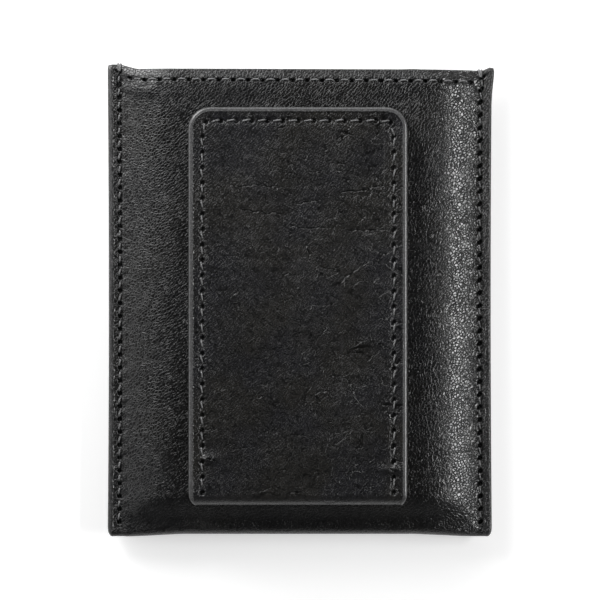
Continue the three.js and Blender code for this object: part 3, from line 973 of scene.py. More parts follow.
@dataclass(frozen=True)
class LiningCloth:
    """Plain-woven lining cloth."""

    name: str
    dark: Colour = (0.006, 0.006, 0.007)
    light: Colour = (0.022, 0.022, 0.025)
    yarns: float = 2.6  # yarns to a millimetre

    def material(self) -> bpy.types.Material:
        """Builds the material: warp and weft yarns over and under each other, a little uneven.

        Returns:
            The material.
        """
        bench = Bench.named(self.name)
        spot = bench.spot()
        parts = bench.add("ShaderNodeSeparateXYZ", {0: spot})
        turn = np.pi * self.yarns
        warp = bench.maths("SINE", bench.maths("MULTIPLY", parts.outputs[0], turn))
        weft = bench.maths("SINE", bench.maths("MULTIPLY", parts.outputs[1], turn))
        over = bench.spread(bench.maths("MULTIPLY", warp, weft), -1.0, 1.0, 0.0, 1.0)
        slub = bench.noise(bench.spot(0.0, (0.3, 2.5, 1.0)), 1.0, 3.0, 0.6)
        tone = bench.maths("MULTIPLY", over, slub)
        return bench.finish({
            "Base Color": bench.shade(tone, self.dark, self.light),
            "Roughness": bench.spread(slub, 0.3, 0.7, 0.7, 0.85),
            "Normal": bench.bump(bench.maths("MULTIPLY", over, 0.03)),
            "Sheen Weight": 0.2,
            "Sheen Roughness": 0.5,
        })


@dataclass(frozen=True)
class FillerBoard:
    """Bonded leather board, pressed from fibres."""

    name: str
    dark: Colour = (0.022, 0.016, 0.012)
    light: Colour = (0.075, 0.058, 0.044)

    def material(self) -> bpy.types.Material:
        """Builds the material: matted fibres, drawn out one way.

        Returns:
            The material.
        """
        bench = Bench.named(self.name)
        fibre = bench.noise(bench.spot(25.0, (0.6, 2.2, 2.0)), 1.6, 5.0, 0.65)
        return bench.finish({
            "Base Color": bench.shade(bench.spread(fibre, 0.3, 0.7, 0.0, 1.0), self.dark, self.light),
            "Roughness": bench.spread(fibre, 0.3, 0.7, 0.95, 0.8),
            "Normal": bench.bump(bench.maths("MULTIPLY", fibre, 0.06)),
        })


@dataclass(frozen=True)
class NickelPlating:
    """Nickel plate on a sintered magnet, with fine handling marks."""

    name: str
    dark: Colour = (0.42, 0.41, 0.39)
    light: Colour = (0.62, 0.61, 0.58)

    def material(self) -> bpy.types.Material:
        """Builds the material.

        Returns:
            The material.
        """
        bench = Bench.named(self.name)
        marks = bench.noise(bench.spot(12.0, (0.3, 3.0, 1.0)), 1.0, 4.0, 0.6)
        return bench.finish({
            "Base Color": bench.shade(marks, self.dark, self.light),
            "Metallic": 1.0,
            "Roughness": bench.spread(marks, 0.3, 0.7, 0.18, 0.34),
            "Normal": bench.bump(bench.maths("MULTIPLY", marks, 0.01)),
        })


class Slot(Enum):
    """Material slots of the record, named for the new pieces."""

    CASE = "case_leather"
    CLIP = "clip_leather"
    FACE = "face_leather"
    CARD = "card_leather"
    LINING = "lining_cloth"
    THREAD = "black_thread"


Look = tuple[bpy.types.Material, Slot]


class Wardrobe:
    """The finishes of the case, each made once."""

    def __init__(self) -> None:
        """Makes every finish's material."""
        self.case = Leather("case leather").material()
        self.clip = Leather(
            "clip leather",
            dark=(0.0006, 0.0006, 0.0006),
            light=(0.0266, 0.0246, 0.022),
            cool=(0.0217, 0.0214, 0.0254),
            # Pale rim colour: burnished edge paint, and partly a painted sheen on the clip's bead.
            rim=(0.092, 0.092, 0.093),
            cells=2.1,
            grain=0.037,
            uneven=0.02,
            turn=38.0,
            crease=0.045,
            crease_turn=8.0,
            crease_cells=(0.14, 0.32),
            crease_drift=(0.0034, -0.0004),
            crease_strength=0.8,
            wear=0.08,
            rough=(0.24, 0.34),
            speck=0.45,
            creases=(
                Crease(13.3, 17.6, 6.4, 9.0, 1.5, 0.18),
                Crease(-9.5, 16.7, 6.0, -1.0, -1.0, 0.15),
                Crease(1.5, 20.2, 3.2, 10.0, 0.8, 0.15),
                Crease(-8.4, 22.3, 5.6, -5.0, 1.2, 0.18),
                Crease(-2.1, 10.0, 5.2, -15.0, -1.0, 0.12),
                Crease(-2.5, 13.7, 5.8, -24.0, 1.2, 0.12),
                Crease(11.2, 35.2, 5.4, 36.0, -1.5, 0.14),
                Crease(1.8, 25.7, 5.4, -2.0, 1.0, 0.13),
                Crease(14.6, 26.2, 5.8, -1.0, 0.8, 0.14),
                Crease(17.3, 16.0, 2.6, -51.0, 0.0, 0.12),
                Crease(-19.5, 75.0, 2.2, -20.0, 0.5, 0.18),
                Crease(19.3, 77.0, 2.2, -45.0, 0.5, 0.18),
            ),
            tracks=(
                Crease(18.1, 12.3, 9.0, 90.0, 0.0, 0.14, 0.55),
                Crease(7.6, 6.6, 4.6, 90.0, 0.0, 0.1, 0.5),
                Crease(9.0, 55.6, 7.6, 90.0, 0.0, 0.1, 0.5),
            ),
        ).material()
        face = Leather("grip face leather", grain=0.03, crease_strength=0.15, rough=(0.42, 0.5))
        card = Leather("card pocket leather", cells=2.2, grain=0.042, rough=(0.2, 0.3))
        self.face, self.card = face.material(), card.material()
        self.edge = PaintedEdge("painted edge").material()
        self.thread = Thread("black thread").material()
        self.lining = LiningCloth("lining cloth").material()
        self.board = FillerBoard("filler board").material()
        self.nickel = NickelPlating("nickel plating").material()


def fit(piece: bpy.types.Object, look: bpy.types.Material, slot: Slot, body: str, *nodes: str) -> None:
    """Gives a piece its finish, sets it on a body and lets it stand for the solids that it covers.

    Args:
        piece: The piece.
        look: Its finish.
        slot: Its slot of the record; not used.
        body: Body that it rides on, or nothing for a strip that spans two.
        *nodes: Solids that it stands for.
    """
    piece.data.materials.append(look)
    if body:
        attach(piece, body)
    if nodes:
        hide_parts(*nodes)
    LOG.info("%s: %d faces, for %s", piece.name, len(piece.data.polygons), ", ".join(nodes) or "no solid")


# The case


@dataclass(frozen=True)
class Extent:
    """Lowest and highest corner of a solid, in millimetres."""

    low: Array
    high: Array

    @classmethod
    def of(cls, node: str) -> "Extent":
        """Extent of the named solid."""
        low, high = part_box(node)
        return cls(np.array(low) / MM, np.array(high) / MM)

    @property
    def thickness(self) -> float:
        """Height of the solid."""
        return float(self.high[2] - self.low[2])


@dataclass(frozen=True)
class CaseShape:
    """The case's skin as it lies, from the flat leather: back, bottom fold and front in one piece.

    In the flat, y runs from the back's mouth (0) down the back, round the fold and up to the front's mouth.
    """

    leather: float = 0.9
    lining: float = 0.2
    glue: float = 0.05  # gap between leather and lining
    corner: float = 1.2
    shoulder: float = 12.0  # from a seam to the full crown
    foot: float = 6.5  # from the fold to the full crown
    fold_share: float = 0.45  # of the crown, left at the fold
    fold_start: float = 2.5  # how much shorter the flat back is than the case
    fold_run: float = 6.4  # in the flat
    mouth_drop: float = 0.75  # from the case's top
    left_tab: tuple[float, float, float] = (1.1, 34.2, 39.5)  # rise of the mouth's corner, its start and end
    right_tab: tuple[float, float, float] = (0.72, 38.8, 40.7)
    mouth_tilt: float = 0.15  # from the left end to the middle
    front_tilt: Pair = (0.12, 20.0)  # rise to the right, and its run
    front_bump: Ridge = Ridge(0.3, 24.3, 4.0)
    flare: float = 0.55  # of the mouth's right corner
    flare_from: tuple[Pair, Pair] = ((30.0, 11.0), (40.0, 10.0))  # start and run, across and along
    fold_rise: float = 0.55  # of the bottom edge, from a seam to the middle
    fold_ease: float = 15.0  # run of that rise
    hem_turn: float = 5.8  # width of the turned leather
    hem_ease: float = 0.3  # run over which it ends
    seam_inset: float = 2.45
    groove_half: float = 0.5  # half the width that a seam holds down
    waist: float = 0.0065  # share by which the sides draw in
    wrap: Extent = field(default_factory=lambda: Extent.of("outer_wrap"))
    back_lining: Extent = field(default_factory=lambda: Extent.of("back_lining"))

    @property
    def half_width(self) -> float:
        """Half the case's width."""
        return float(self.wrap.high[0])

    @property
    def half_height(self) -> float:
        """Half the case's height."""
        return float(self.wrap.high[1])

    @property
    def front_z(self) -> float:
        """Level of the front's outer face."""
        return float(self.wrap.low[2])

    @property
    def rim_z(self) -> float:
        """Level of the back's inner face along the side seams."""
        return float(self.back_lining.low[2]) + self.lining + self.glue

    @property
    def rise(self) -> float:
        """Height of the full crown."""
        return float(self.wrap.high[2]) - self.leather - self.rim_z

    @property
    def back_run(self) -> float:
        """Length of the back in the flat, from the mouth to the start of the fold."""
        return 2 * self.half_height - self.fold_start

    @property
    def run(self) -> float:
        """Whole length of the flat leather."""
        return 2 * self.back_run + self.fold_run

    def crown(self, x: Array, above: Array) -> Array:
        """Share of the full crown: a quarter sine wave in from each seam, eased down towards the fold.

        Args:
            x: Place across.
            above: Height above the fold.

        Returns:
            The share.
        """
        inside = self.half_width - self.seam_inset - self.groove_half - np.abs(x)
        across = np.sin(0.5 * np.pi * np.clip(inside / self.shoulder, 0.0, 1.0))
        return across * (self.fold_share + (1 - self.fold_share) * smooth(above / self.foot))

    def mouth_y(self, x: Array) -> Array:
        """The mouth's edge: a little lower to the right, with an eased step up to each corner.

        Args:
            x: Place across.

        Returns:
            Its y.
        """
        edge = self.half_height - self.mouth_drop - self.mouth_tilt * (1 + x / self.half_width)
        for side, (rise, start, end) in ((-1, self.left_tab), (1, self.right_tab)):
            edge = edge + rise * eased(side * x, start, end - start)
        return edge

    def bottom_y(self, x: Array) -> Array:
        """The bottom edge: rounded corners and a slight rise towards the middle.

        Args:
            x: Place across.

        Returns:
            Its y.
        """
        into = np.clip(np.abs(x) - (self.half_width - self.corner), 0.0, self.corner)
        rounding = self.corner - np.sqrt(self.corner**2 - into**2)
        inside = self.half_width - self.seam_inset - np.abs(x)
        return -self.half_height + self.fold_rise * smooth(inside / self.fold_ease) + rounding

    def inner_z(self, x: Array, above: Array) -> Array:
        """Level of the back's inner face."""
        return self.rim_z + self.rise * self.crown(x, above)

    def fold(self, x: Array) -> tuple[Array, Array]:
        """Radius of the bottom fold, and the y of its middle."""
        radius = 0.5 * (self.inner_z(x, 0 * x) + self.leather - self.front_z)
        return radius, self.bottom_y(x) + radius

    def place(self, x: Array, y: Array, h: Array) -> Array:
        """Bends the flat leather: down the crowned back, half round the fold, and up the level front.

        Args:
            x: Place across the case.
            y: Place along the flat leather.
            h: Height above its inner face.

        Returns:
            Points of the case as it lies.
        """
        radius, fold_y = self.fold(x)
        mouth = self.mouth_y(x)
        from_mouth = np.minimum(y, self.run - y)
        turned = (self.glue + self.lining) * (1 - eased(from_mouth, self.hem_turn, self.hem_ease))
        h = h - turned * np.clip(1 - h / self.leather, 0.0, 1.0)
        down = np.clip(y / self.back_run, 0.0, 1.0)
        back_y = mouth + (fold_y - mouth) * down
        back_z = self.inner_z(x, back_y - fold_y) + h
        turn = np.pi * np.clip((y - self.back_run) / self.fold_run, 0.0, 1.0)
        reach = radius - self.leather + h
        round_y = fold_y - reach * np.sin(turn)
        round_z = self.front_z + radius + reach * np.cos(turn)
        up = np.clip((y - self.back_run - self.fold_run) / self.back_run, 0.0, 1.0)
        tilt, tilt_run = self.front_tilt
        front_mouth = mouth + tilt * smooth(x / tilt_run) + self.front_bump.over(x)
        front_y = fold_y + (front_mouth - fold_y) * up
        on_back, on_front = y <= self.back_run, y >= self.back_run + self.fold_run
        lies_y = np.where(on_back, back_y, np.where(on_front, front_y, round_y))
        lies_z = np.where(on_back, back_z, np.where(on_front, self.front_z + self.leather - h, round_z))
        lies_x = x * (1 - self.waist * np.clip(1 - np.square(lies_y / self.half_height), 0.0, 1.0))
        corner = eased(x, *self.flare_from[0]) * eased(lies_y, *self.flare_from[1]) ** 2
        lies_x = lies_x + self.flare * corner
        return np.stack([lies_x, lies_y, lies_z], axis=-1)


@dataclass(frozen=True)
class LiningPlace:
    """Lining that lies against the back's crown or flat on the front; y is the case's own."""

    shape: CaseShape
    on_back: bool

    def place(self, x: Array, y: Array, h: Array) -> Array:
        """Lays the lining against the leather's inner face.

        Args:
            x: Place across.
            y: Place along the flat sheet.
            h: Height above its inner face.

        Returns:
            Points of the sheet as it lies.
        """
        case = self.shape
        behind = case.glue + case.lining
        back = case.inner_z(x, y - case.fold(x)[1]) - behind
        front = case.front_z + case.leather + case.glue + 0 * x
        return np.stack([x, y, (back if self.on_back else front) + h], axis=-1)


@dataclass(frozen=True)
class MouthLoop:
    """Thread that closes a side seam over the mouth's edge, in two turns side by side."""

    inward: float = 0.1  # from the seam's line
    depth: float = 1.3  # of its ends, below the mouth
    reach: float = 1.5  # up from there
    square: float = 0.6  # power that squares its shoulders
    proud: float = 0.12  # off each face
    half: float = 0.3  # half the distance between its turns
    lean: float = 0.12
    lag: float = 0.08  # of the second turn, below the first
    radius: float = 0.24
    steps: int = 13

    def build(self, name: str, shape: CaseShape, side: float) -> bpy.types.Object:
        """Builds the loop on one side: a flat half oval over the mouth, and another back.

        Args:
            name: Name of the piece.
            shape: Where the leather lies.
            side: -1 on the left, 1 on the right.

        Returns:
            The new object.
        """
        x = side * (shape.half_width - shape.seam_inset - self.inward)
        top, low = shape.rim_z + shape.leather, shape.front_z
        mouth = float(shape.mouth_y(np.array(x)))
        turn = np.linspace(-0.5 * np.pi, 0.5 * np.pi, self.steps)
        y = mouth - self.depth + self.reach * np.cos(turn) ** self.square
        z = 0.5 * (top + low) + (0.5 * (top - low) + self.proud) * np.sin(turn)
        aside = self.half - self.lean * np.sin(turn)
        over = np.stack([x - aside, y, z], axis=1)
        back = np.stack([x + aside, y - self.lag, z], axis=1)
        path = np.concatenate([over, back[::-1]])
        up = path - path.mean(axis=0) + (0.0, self.reach, 0.0)
        return tube(name, path, up, self.radius)


@dataclass
class Case:
    """The case's leather, its linings and the stitching of its seams and hems."""

    shape: CaseShape = field(default_factory=CaseShape)
    band: float = 4.2  # fine rows round the outline
    edge_depth: float = 0.85
    seam_pitch: float = 2.75
    seam_start: float = 1.5  # first hole, from the mouth
    seam_foot: float = 2.0  # last hole, from the fold
    seam_lean: float = 38.0  # degrees
    seam_slant: float = 0.26
    seam_shown: tuple[Pair, Pair] = ((0.36, 0.84), (0.2, 0.7))  # on the left and on the right
    seam_valley: Ridge = Ridge(-0.2, 0.0, 0.7)
    seam_end: Margin = Margin(1.0, 0.6, 1.5)  # past the last hole
    hem_pitch: float = 3.15
    hem_inset: float = 2.5  # from the mouth
    hem_slope: float = 0.12  # further in at the right edge
    hem_short: float = 2.5  # of each seam
    hem_shift: float = 0.25  # bow of a stitch towards the mouth
    hem_valley: Ridge = Ridge(-0.18, 0.0, 0.55)
    hem_from: Pair = (0.9, 0.8)  # distance from a seam, and run
    hem_welt: Margin = Margin(0.1, -0.4, 0.7)  # from the end of the turned leather
    hem_roll: Margin = Margin(-0.4, 0.3, 2.2)
    bead: Ridge = Ridge(0.07, 0.7, 0.45)
    press_lines: tuple[Ridge, Ridge] = (Ridge(-0.11, 1.4, 0.28), Ridge(-0.11, 0.95, 0.28))
    right_lip: Ridge = Ridge(0.08, 0.62, 0.16)
    puckers: Ridge = Ridge(-0.07, 1.0, 0.8)
    pucker_slope: float = 0.6  # for each millimetre from the seam
    gathers: Ridge = Ridge(0.07, 4.0, 3.2)
    lumps: tuple[Lump, ...] = (
        Lump(-36.2, 4.7, 1.7, 1.1, 0.3),
        Lump(-32.6, 4.9, 1.7, 1.1, 0.3),
        Lump(-36.4, 1.5, 1.7, 1.1, 0.3),
    )
    waves: float = 0.09
    waves_from: Pair = (24.0, 5.0)  # distance from the middle, and run
    # Polish along the left and right edges; the left's is stronger, partly wear and partly a painted sheen on
    # the edge that faces the light.
    sides_wear_and_sheen: tuple[Margin, Margin] = (Margin(0.75, 0.6, 0.5), Margin(0.25, 1.6, 0.4))  # left and right
    worn_mouth: Margin = Margin(0.2, 1.2, 1.2)
    worn_fold: Ridge = Ridge(0.12, 0.0, 2.2)
    lining_gaps: tuple[float, float, float] = (0.15, 3.2, 0.95)  # at the sides, fold and hem
    lining_level: float = 26.0  # half width of the level middle
    loop: MouthLoop = MouthLoop()
    runs: dict[str, StitchRun] = field(default_factory=dict)

    def __post_init__(self) -> None:
        """Lays out the stitch lines in the flat of the leather."""
        shape = self.shape
        seam_x = shape.half_width - shape.seam_inset
        for seed, (name, side) in enumerate(SIDES):
            ends = (self.seam_start, shape.back_run - self.seam_foot)
            back = np.array([[side * seam_x, y] for y in ends])
            front = back * (1, -1) + (0, shape.run)
            line = {"lean": self.seam_lean * side, "slant": self.seam_slant * side, "seed": 11 + seed}
            for part, path in (("seam", back), ("seam_bobbin", front)):
                holes = even_points(path, self.seam_pitch)
                self.runs[f"{name}_{part}"] = StitchRun(holes, shown=self.seam_shown[seed], **line)
        across = np.array([-1.0, 1.0]) * (seam_x - self.hem_short)
        y = self.hem_at(across)
        for seed, (name, line_y, bow) in enumerate((("back", y, -1.0), ("front", shape.run - y, 1.0))):
            self.runs[f"{name}_hem"] = StitchRun(
                even_points(np.stack([across, line_y], axis=1), self.hem_pitch),
                hole=(0.6, 0.4),
                lean=12.0,
                depth=0.5,
                slant=0.1,
                shift=bow * self.hem_shift,
                sink=0.85,
                seed=21 + seed,
            )

    def hem_at(self, x: Array) -> Array:
        """Distance of the hem's stitches from the mouth, a little less towards the left."""
        return self.hem_inset + self.hem_slope * x / self.shape.half_width

    def relief(self, x: Array, y: Array, inset: Array) -> Array:
        """Detail of the leather's outer face: a sum of bells and eased steps across its lines and edges.

        A bead and a pressed line along each side edge, a valley and puckers along each seam and hem, the welt
        of the turned hem, lumps where it meets the left seam, and slow waves that fade out under the clip.

        Args:
            x: Place across the case.
            y: Place along the flat leather.
            inset: Distance in from the outline.

        Returns:
            Height of the detail.
        """
        shape = self.shape
        edge = shape.half_width - np.abs(x)
        from_seam = edge - shape.seam_inset
        from_mouth = np.minimum(y, shape.run - y)
        along = from_mouth - self.seam_start + self.pucker_slope * from_seam
        beat = np.cos(2 * np.pi * along / self.seam_pitch)
        pressed = [line.over(edge) for line in self.press_lines]
        seam = np.where(x < 0, pressed[0], pressed[1] + self.right_lip.over(edge))
        seam = seam + self.seam_valley.over(from_seam) + self.puckers.over(from_seam) * beat
        seam = seam * self.seam_end.over(from_mouth - shape.back_run + self.seam_foot)
        hem = self.hem_valley.over(from_mouth - self.hem_at(x)) + self.hem_roll.over(from_mouth)
        hem = hem + self.hem_welt.over(from_mouth - shape.hem_turn)
        hem = hem + self.waves * eased(np.abs(x), *self.waves_from) * swell(x, y, 13.0, 7)
        gather = swell(0.35 * x, y, 3.1, 5) + 0.6 * swell(0.5 * x, y, 6.5, 6)
        height = self.bead.over(edge) + seam + hem * eased(from_seam, *self.hem_from)
        height = height + self.gathers.over(from_seam) * gather
        height = height + sum(lump.over(x, y) for lump in self.lumps)
        return height + sum(run.dents(x, y) for run in self.runs.values())

    def polish(self, x: Array, y: Array, inset: Array) -> Array:
        """Polished places, lighter partly from wear and partly as painted sheen: both side edges, the left
        more than the right, the turned mouth and the bottom fold.

        Args:
            x: Place across.
            y: Place along the flat sheet.
            inset: Distance in from the outline.

        Returns:
            Polish, from 0 to 1.
        """
        shape = self.shape
        left, right = (side.over(shape.half_width - np.abs(x)) for side in self.sides_wear_and_sheen)
        mouth = self.worn_mouth.over(np.minimum(y, shape.run - y))
        edges = np.maximum(np.where(x < 0, left, right), mouth)
        return np.clip(edges + self.worn_fold.over(y - shape.run / 2), 0.0, 1.0)

    def build_leather(self, looks: Wardrobe) -> None:
        """Builds the folded leather of the case, with rows close together across its seams and edges.

        Args:
            looks: The finishes.
        """
        shape = self.shape
        start, fold = self.band, shape.back_run
        stops = [start, fold, fold + shape.fold_run, shape.run - start]
        over_seam, over_bead = np.arange(3.15, 1.7, -0.12), np.arange(1.58, 1.09, -0.12)
        sheet = Sheet(
            low=(-shape.half_width, 0.0),
            high=(shape.half_width, shape.run),
            corner=0.6,
            thickness=shape.leather,
            edge=self.edge_depth,
            across=graded([-shape.half_width + start, shape.half_width - start], [0.28], 12),
            along=graded(stops, [0.24, 0.2, 0.42], 12),
            insets=np.array([start, 3.75, 3.4, *over_seam, *over_bead, 1.0, 0.92]),
            outer_step=3,
            inner_step=6,
        )
        piece = sheet.build("case_leather", shape, self.relief, self.polish)
        fit(piece, looks.case, Slot.CASE, "case", "outer_wrap")

    def build_linings(self, looks: Wardrobe) -> None:
        """Builds the two pocket linings, each a cloth sheet stretched over the leather.

        Args:
            looks: The finishes.
        """
        aside, foot, top = self.lining_gaps
        for name, on_back in (("back_lining", True), ("front_lining", False)):
            extent = Extent.of(name)
            low, high = extent.low[:2] + aside, extent.high[:2] - (aside, top)
            low[1] = -self.shape.half_height + foot
            inner_low, inner_high = low + CLOTH_BAND, high - CLOTH_BAND
            across = [inner_low[0], -self.lining_level, self.lining_level, inner_high[0]]
            along = [inner_low[1], low[1] + 8.0, inner_high[1]]
            sheet = Sheet(
                low=tuple(low),
                high=tuple(high),
                thickness=self.shape.lining,
                edge=0.1,
                across=graded(across, [0.7, 2.0, 0.7], 4),
                along=graded(along, [0.7, 2.0], 4),
                **CLOTH_CUT,
            )
            piece = sheet.build(f"{name}_cloth", LiningPlace(self.shape, on_back), plain, plain)
            fit(piece, looks.lining, Slot.LINING, "case", name)

    def build_stitches(self, looks: Wardrobe) -> None:
        """Builds the thread of each seam and hem, and the loops over the mouth's corners.

        Args:
            looks: The finishes.
        """
        shape = self.shape
        for name, run in self.runs.items():
            valley = self.hem_valley if "hem" in name else self.seam_valley
            piece = run.thread(f"{name}_stitches", shape, shape.leather + valley.height)
            fit(piece, looks.thread, Slot.THREAD, "case", f"{name}_thread")
        for name, side in SIDES:
            piece = self.loop.build(f"{name}_mouth_loop", shape, side)
            fit(piece, looks.thread, Slot.THREAD, "case")

    def build(self, looks: Wardrobe) -> None:
        """Builds the whole case.

        Args:
            looks: The finishes.
        """
        self.build_leather(looks)
        self.build_linings(looks)
        self.build_stitches(looks)


# The card side


@dataclass(frozen=True)
class FacingDown:
    """A flat sheet whose outer face looks down; its inner face is at the given level."""

    level: float

    def place(self, x: Array, y: Array, h: Array) -> Array:
        """Lays the sheet level."""
        return np.stack([x, y, self.level - h], axis=-1)


@dataclass
class CardPockets:
    """Three stepped card slots on the front: a full panel, two strips, their cloths and stitching."""

    margin: float = 2.2  # of the stitches, from the edge
    pitch: float = 3.0
    lift: float = 0.02
    corner: float = 3.4  # of the panel, and width of the fine rows
    strip_corner: float = 0.8
    valley: Ridge = Ridge(-0.22, 0.0, 0.55)
    press_line: Ridge = Ridge(-0.07, 1.1, 0.2)
    rim: Margin = Margin(-0.03, 0.0, 0.8)
    burnish: Margin = Margin(1.0, 0.6, 0.5)
    tack_short: float = 1.0  # of a leather's ends
    tack_holes: int = 8  # a line with fewer is a tack
    cloth_gap: float = 0.05

    def leather(self, name: str, corner: float, runs: Sequence[StitchRun]) -> bpy.types.Object:
        """Builds one leather of the pockets, with a pressed line round its edge and its stitch holes.

        Args:
            name: Name of its solid.
            corner: Radius of its corners.
            runs: Its lines of stitches.

        Returns:
            The new object.
        """
        extent = Extent.of(name)
        band = self.corner

        def relief(x: Array, y: Array, inset: Array) -> Array:
            """Rounded rim, a pressed line behind it, and a valley along the stitches.

            Args:
                x: Place across.
                y: Place along the flat sheet.
                inset: Distance in from the outline.

            Returns:
                Height of the detail.
            """
            height = self.press_line.over(inset) + self.rim.over(inset)
            for run in runs:
                is_tack = len(run.holes) < self.tack_holes
                away = y - run.holes[:, 1].mean() if is_tack else inset - self.margin
                reach = x < run.holes[:, 0].max() + self.tack_short
                height = height + self.valley.over(away) * reach + run.dents(x, y)
            return height

        def polish(x: Array, y: Array, inset: Array) -> Array:
            """Burnished rim."""
            return self.burnish.over(inset)

        low, high = extent.low[:2], extent.high[:2]
        over_seam = np.arange(2.8, 1.5, -0.12)
        sheet = Sheet(
            low=tuple(low),
            high=tuple(high),
            corner=corner,
            thickness=extent.thickness,
            edge=extent.thickness / 2,
            across=graded([low[0] + band, high[0] - band], [0.3], 8),
            along=graded([low[1] + band, high[1] - band], [0.3], 8),
            insets=np.array([band, 3.1, *over_seam, 1.35, 1.2, 1.1, 1.0, 0.85, 0.65, 0.45]),
            outer_step=4,
            inner_step=8,
        )
        return sheet.build(f"{name}_leather", FacingDown(float(extent.high[2])), relief, polish)

    def panel_run(self) -> StitchRun:
        """The U of stitches round the panel's closed sides.

        Returns:
            The stitches.
        """
        extent = Extent.of("card_panel_low")
        end_x = extent.high[0] - self.tack_short
        low, high = extent.low[:2] + self.margin, extent.high[:2] - self.margin
        radius = self.corner - self.margin
        upper = arc((low[0] + radius, high[1] - radius), radius, 90.0, 180.0)
        lower = arc((low[0] + radius, low[1] + radius), radius, 180.0, 270.0)
        path = np.concatenate([[[end_x, high[1]]], upper, lower, [[end_x, low[1]]]])
        return StitchRun(even_points(path, self.pitch), lean=20.0, seed=31, depth=0.4, lift=self.lift)

    def tack_runs(self, name: str, before: str) -> list[StitchRun]:
        """Short lines of stitches through the two ends of a strip, in the stretch that shows.

        Args:
            name: Name of the strip's solid.
            before: Name of the solid that covers part of it.

        Returns:
            The lower and the upper line.
        """
        extent, covered = Extent.of(name), Extent.of(before)
        ends = (covered.high[0] + self.tack_short, extent.high[0] - self.tack_short)
        levels = (extent.low[1] + self.margin, extent.high[1] - self.margin)
        lines = [even_points(np.array([[ends[0], y], [ends[1], y]]), self.pitch) for y in levels]
        return [StitchRun(line, seed=41, depth=0.3, lift=self.lift) for line in lines]

    def sew(self, run: StitchRun, leather: str, node: str, looks: Wardrobe) -> None:
        """Builds the thread of a line of stitches on one of the leathers, to stand for the named solid.

        Args:
            run: The stitches.
            leather: Solid of the leather.
            node: Solid of the thread.
            looks: The finishes.
        """
        extent = Extent.of(leather)
        place, face = FacingDown(float(extent.high[2])), extent.thickness + self.valley.height
        thread = run.thread(f"{node.removesuffix('_thread')}_stitches", place, face)
        fit(thread, looks.thread, Slot.THREAD, "case", node)

    def cloth(self, name: str, looks: Wardrobe) -> None:
        """Builds the cloth floor of a slot, laid against its strip.

        Args:
            name: Name of its solid.
            looks: The finishes.
        """
        extent = Extent.of(name)
        low, high = extent.low[:2] + self.cloth_gap, extent.high[:2] - self.cloth_gap
        stops = np.stack([low + CLOTH_BAND, high - CLOTH_BAND], axis=1)
        sheet = Sheet(
            low=tuple(low),
            high=tuple(high),
            thickness=extent.thickness,
            edge=0.06,
            across=graded(stops[0], [1.5], 4),
            along=graded(stops[1], [1.5], 4),
            **CLOTH_CUT,
        )
        piece = sheet.build(f"{name}_floor", FacingDown(float(extent.high[2])), plain, plain)
        fit(piece, looks.lining, Slot.LINING, "case", name)

    def build(self, looks: Wardrobe) -> None:
        """Builds the panel, then each strip with its cloth and tacks.

        Args:
            looks: The finishes.
        """
        panel = "card_panel_low"
        run = self.panel_run()
        fit(self.leather(panel, self.corner, [run]), looks.card, Slot.CARD, "case", panel)
        self.sew(run, panel, "card_pocket_thread", looks)
        for strip, before in (("mid", panel), ("top", "card_strip_mid")):
            name = f"card_strip_{strip}"
            runs = self.tack_runs(name, before)
            fit(self.leather(name, self.strip_corner, runs), looks.card, Slot.CARD, "case", name)
            self.cloth(f"slot_cloth_{strip}", looks)
            for end, line in zip(("lower", "upper"), runs):
                self.sew(line, name, f"{strip}_slot_tack_{end}", looks)


# The money clip


@dataclass(frozen=True)
class ClipShape:
    """The clip's strip as it lies: flap, fold and base, bent round one axis.

    In the flat, y runs from the flap's free end (0) to the fold, round it and on to the base's free end.

    Attributes:
        start: Distance of the strip's inner face from the fold's middle.
        outward: 1 where the outer face looks away from the fold's middle, and -1 where it looks towards it.
        fold_run: Length of the fold in the flat.
        draw: How far the fold's corners draw in.
        draw_power: How close to the corners that stays.
        leg: Extent of the flap's solid.
        fold: Extent of the fold's solid.
    """

    start: float
    outward: float
    fold_run: float
    draw: float = 0.8
    draw_power: int = 7
    leg: Extent = field(default_factory=lambda: Extent.of("clip_flap_leather"))
    fold: Extent = field(default_factory=lambda: Extent.of("clip_fold_leather"))

    @property
    def leg_run(self) -> float:
        """Length of a leg."""
        return float(self.leg.high[1] - self.fold.high[1])

    @property
    def run(self) -> float:
        """Whole length of the strip."""
        return 2 * self.leg_run + self.fold_run

    @property
    def middle(self) -> Pair:
        """The fold's middle, as y and z."""
        return float(self.fold.high[1]), 0.5 * float(self.fold.low[2] + self.fold.high[2])

    def place(self, x: Array, y: Array, h: Array) -> Array:
        """Bends the strip: along the flap, half round the fold, and back along the base.

        Args:
            x: Place across.
            y: Place along the flat sheet.
            h: Height above its inner face.

        Returns:
            Points of the sheet as it lies.
        """
        reach = self.start + self.outward * h
        turn = np.pi * np.clip((y - self.leg_run) / self.fold_run, 0.0, 1.0)
        on_leg = np.maximum(self.leg_run - y, 0.0) + np.maximum(y - self.leg_run - self.fold_run, 0.0)
        lies_y = self.middle[0] + on_leg - reach * np.sin(turn)
        aside = 2 * x / (self.leg.high[0] - self.leg.low[0])
        drawn = self.draw * np.sin(turn) ** 2 * aside**self.draw_power
        return np.stack([x - drawn, lies_y, self.middle[1] + reach * np.cos(turn)], axis=-1)


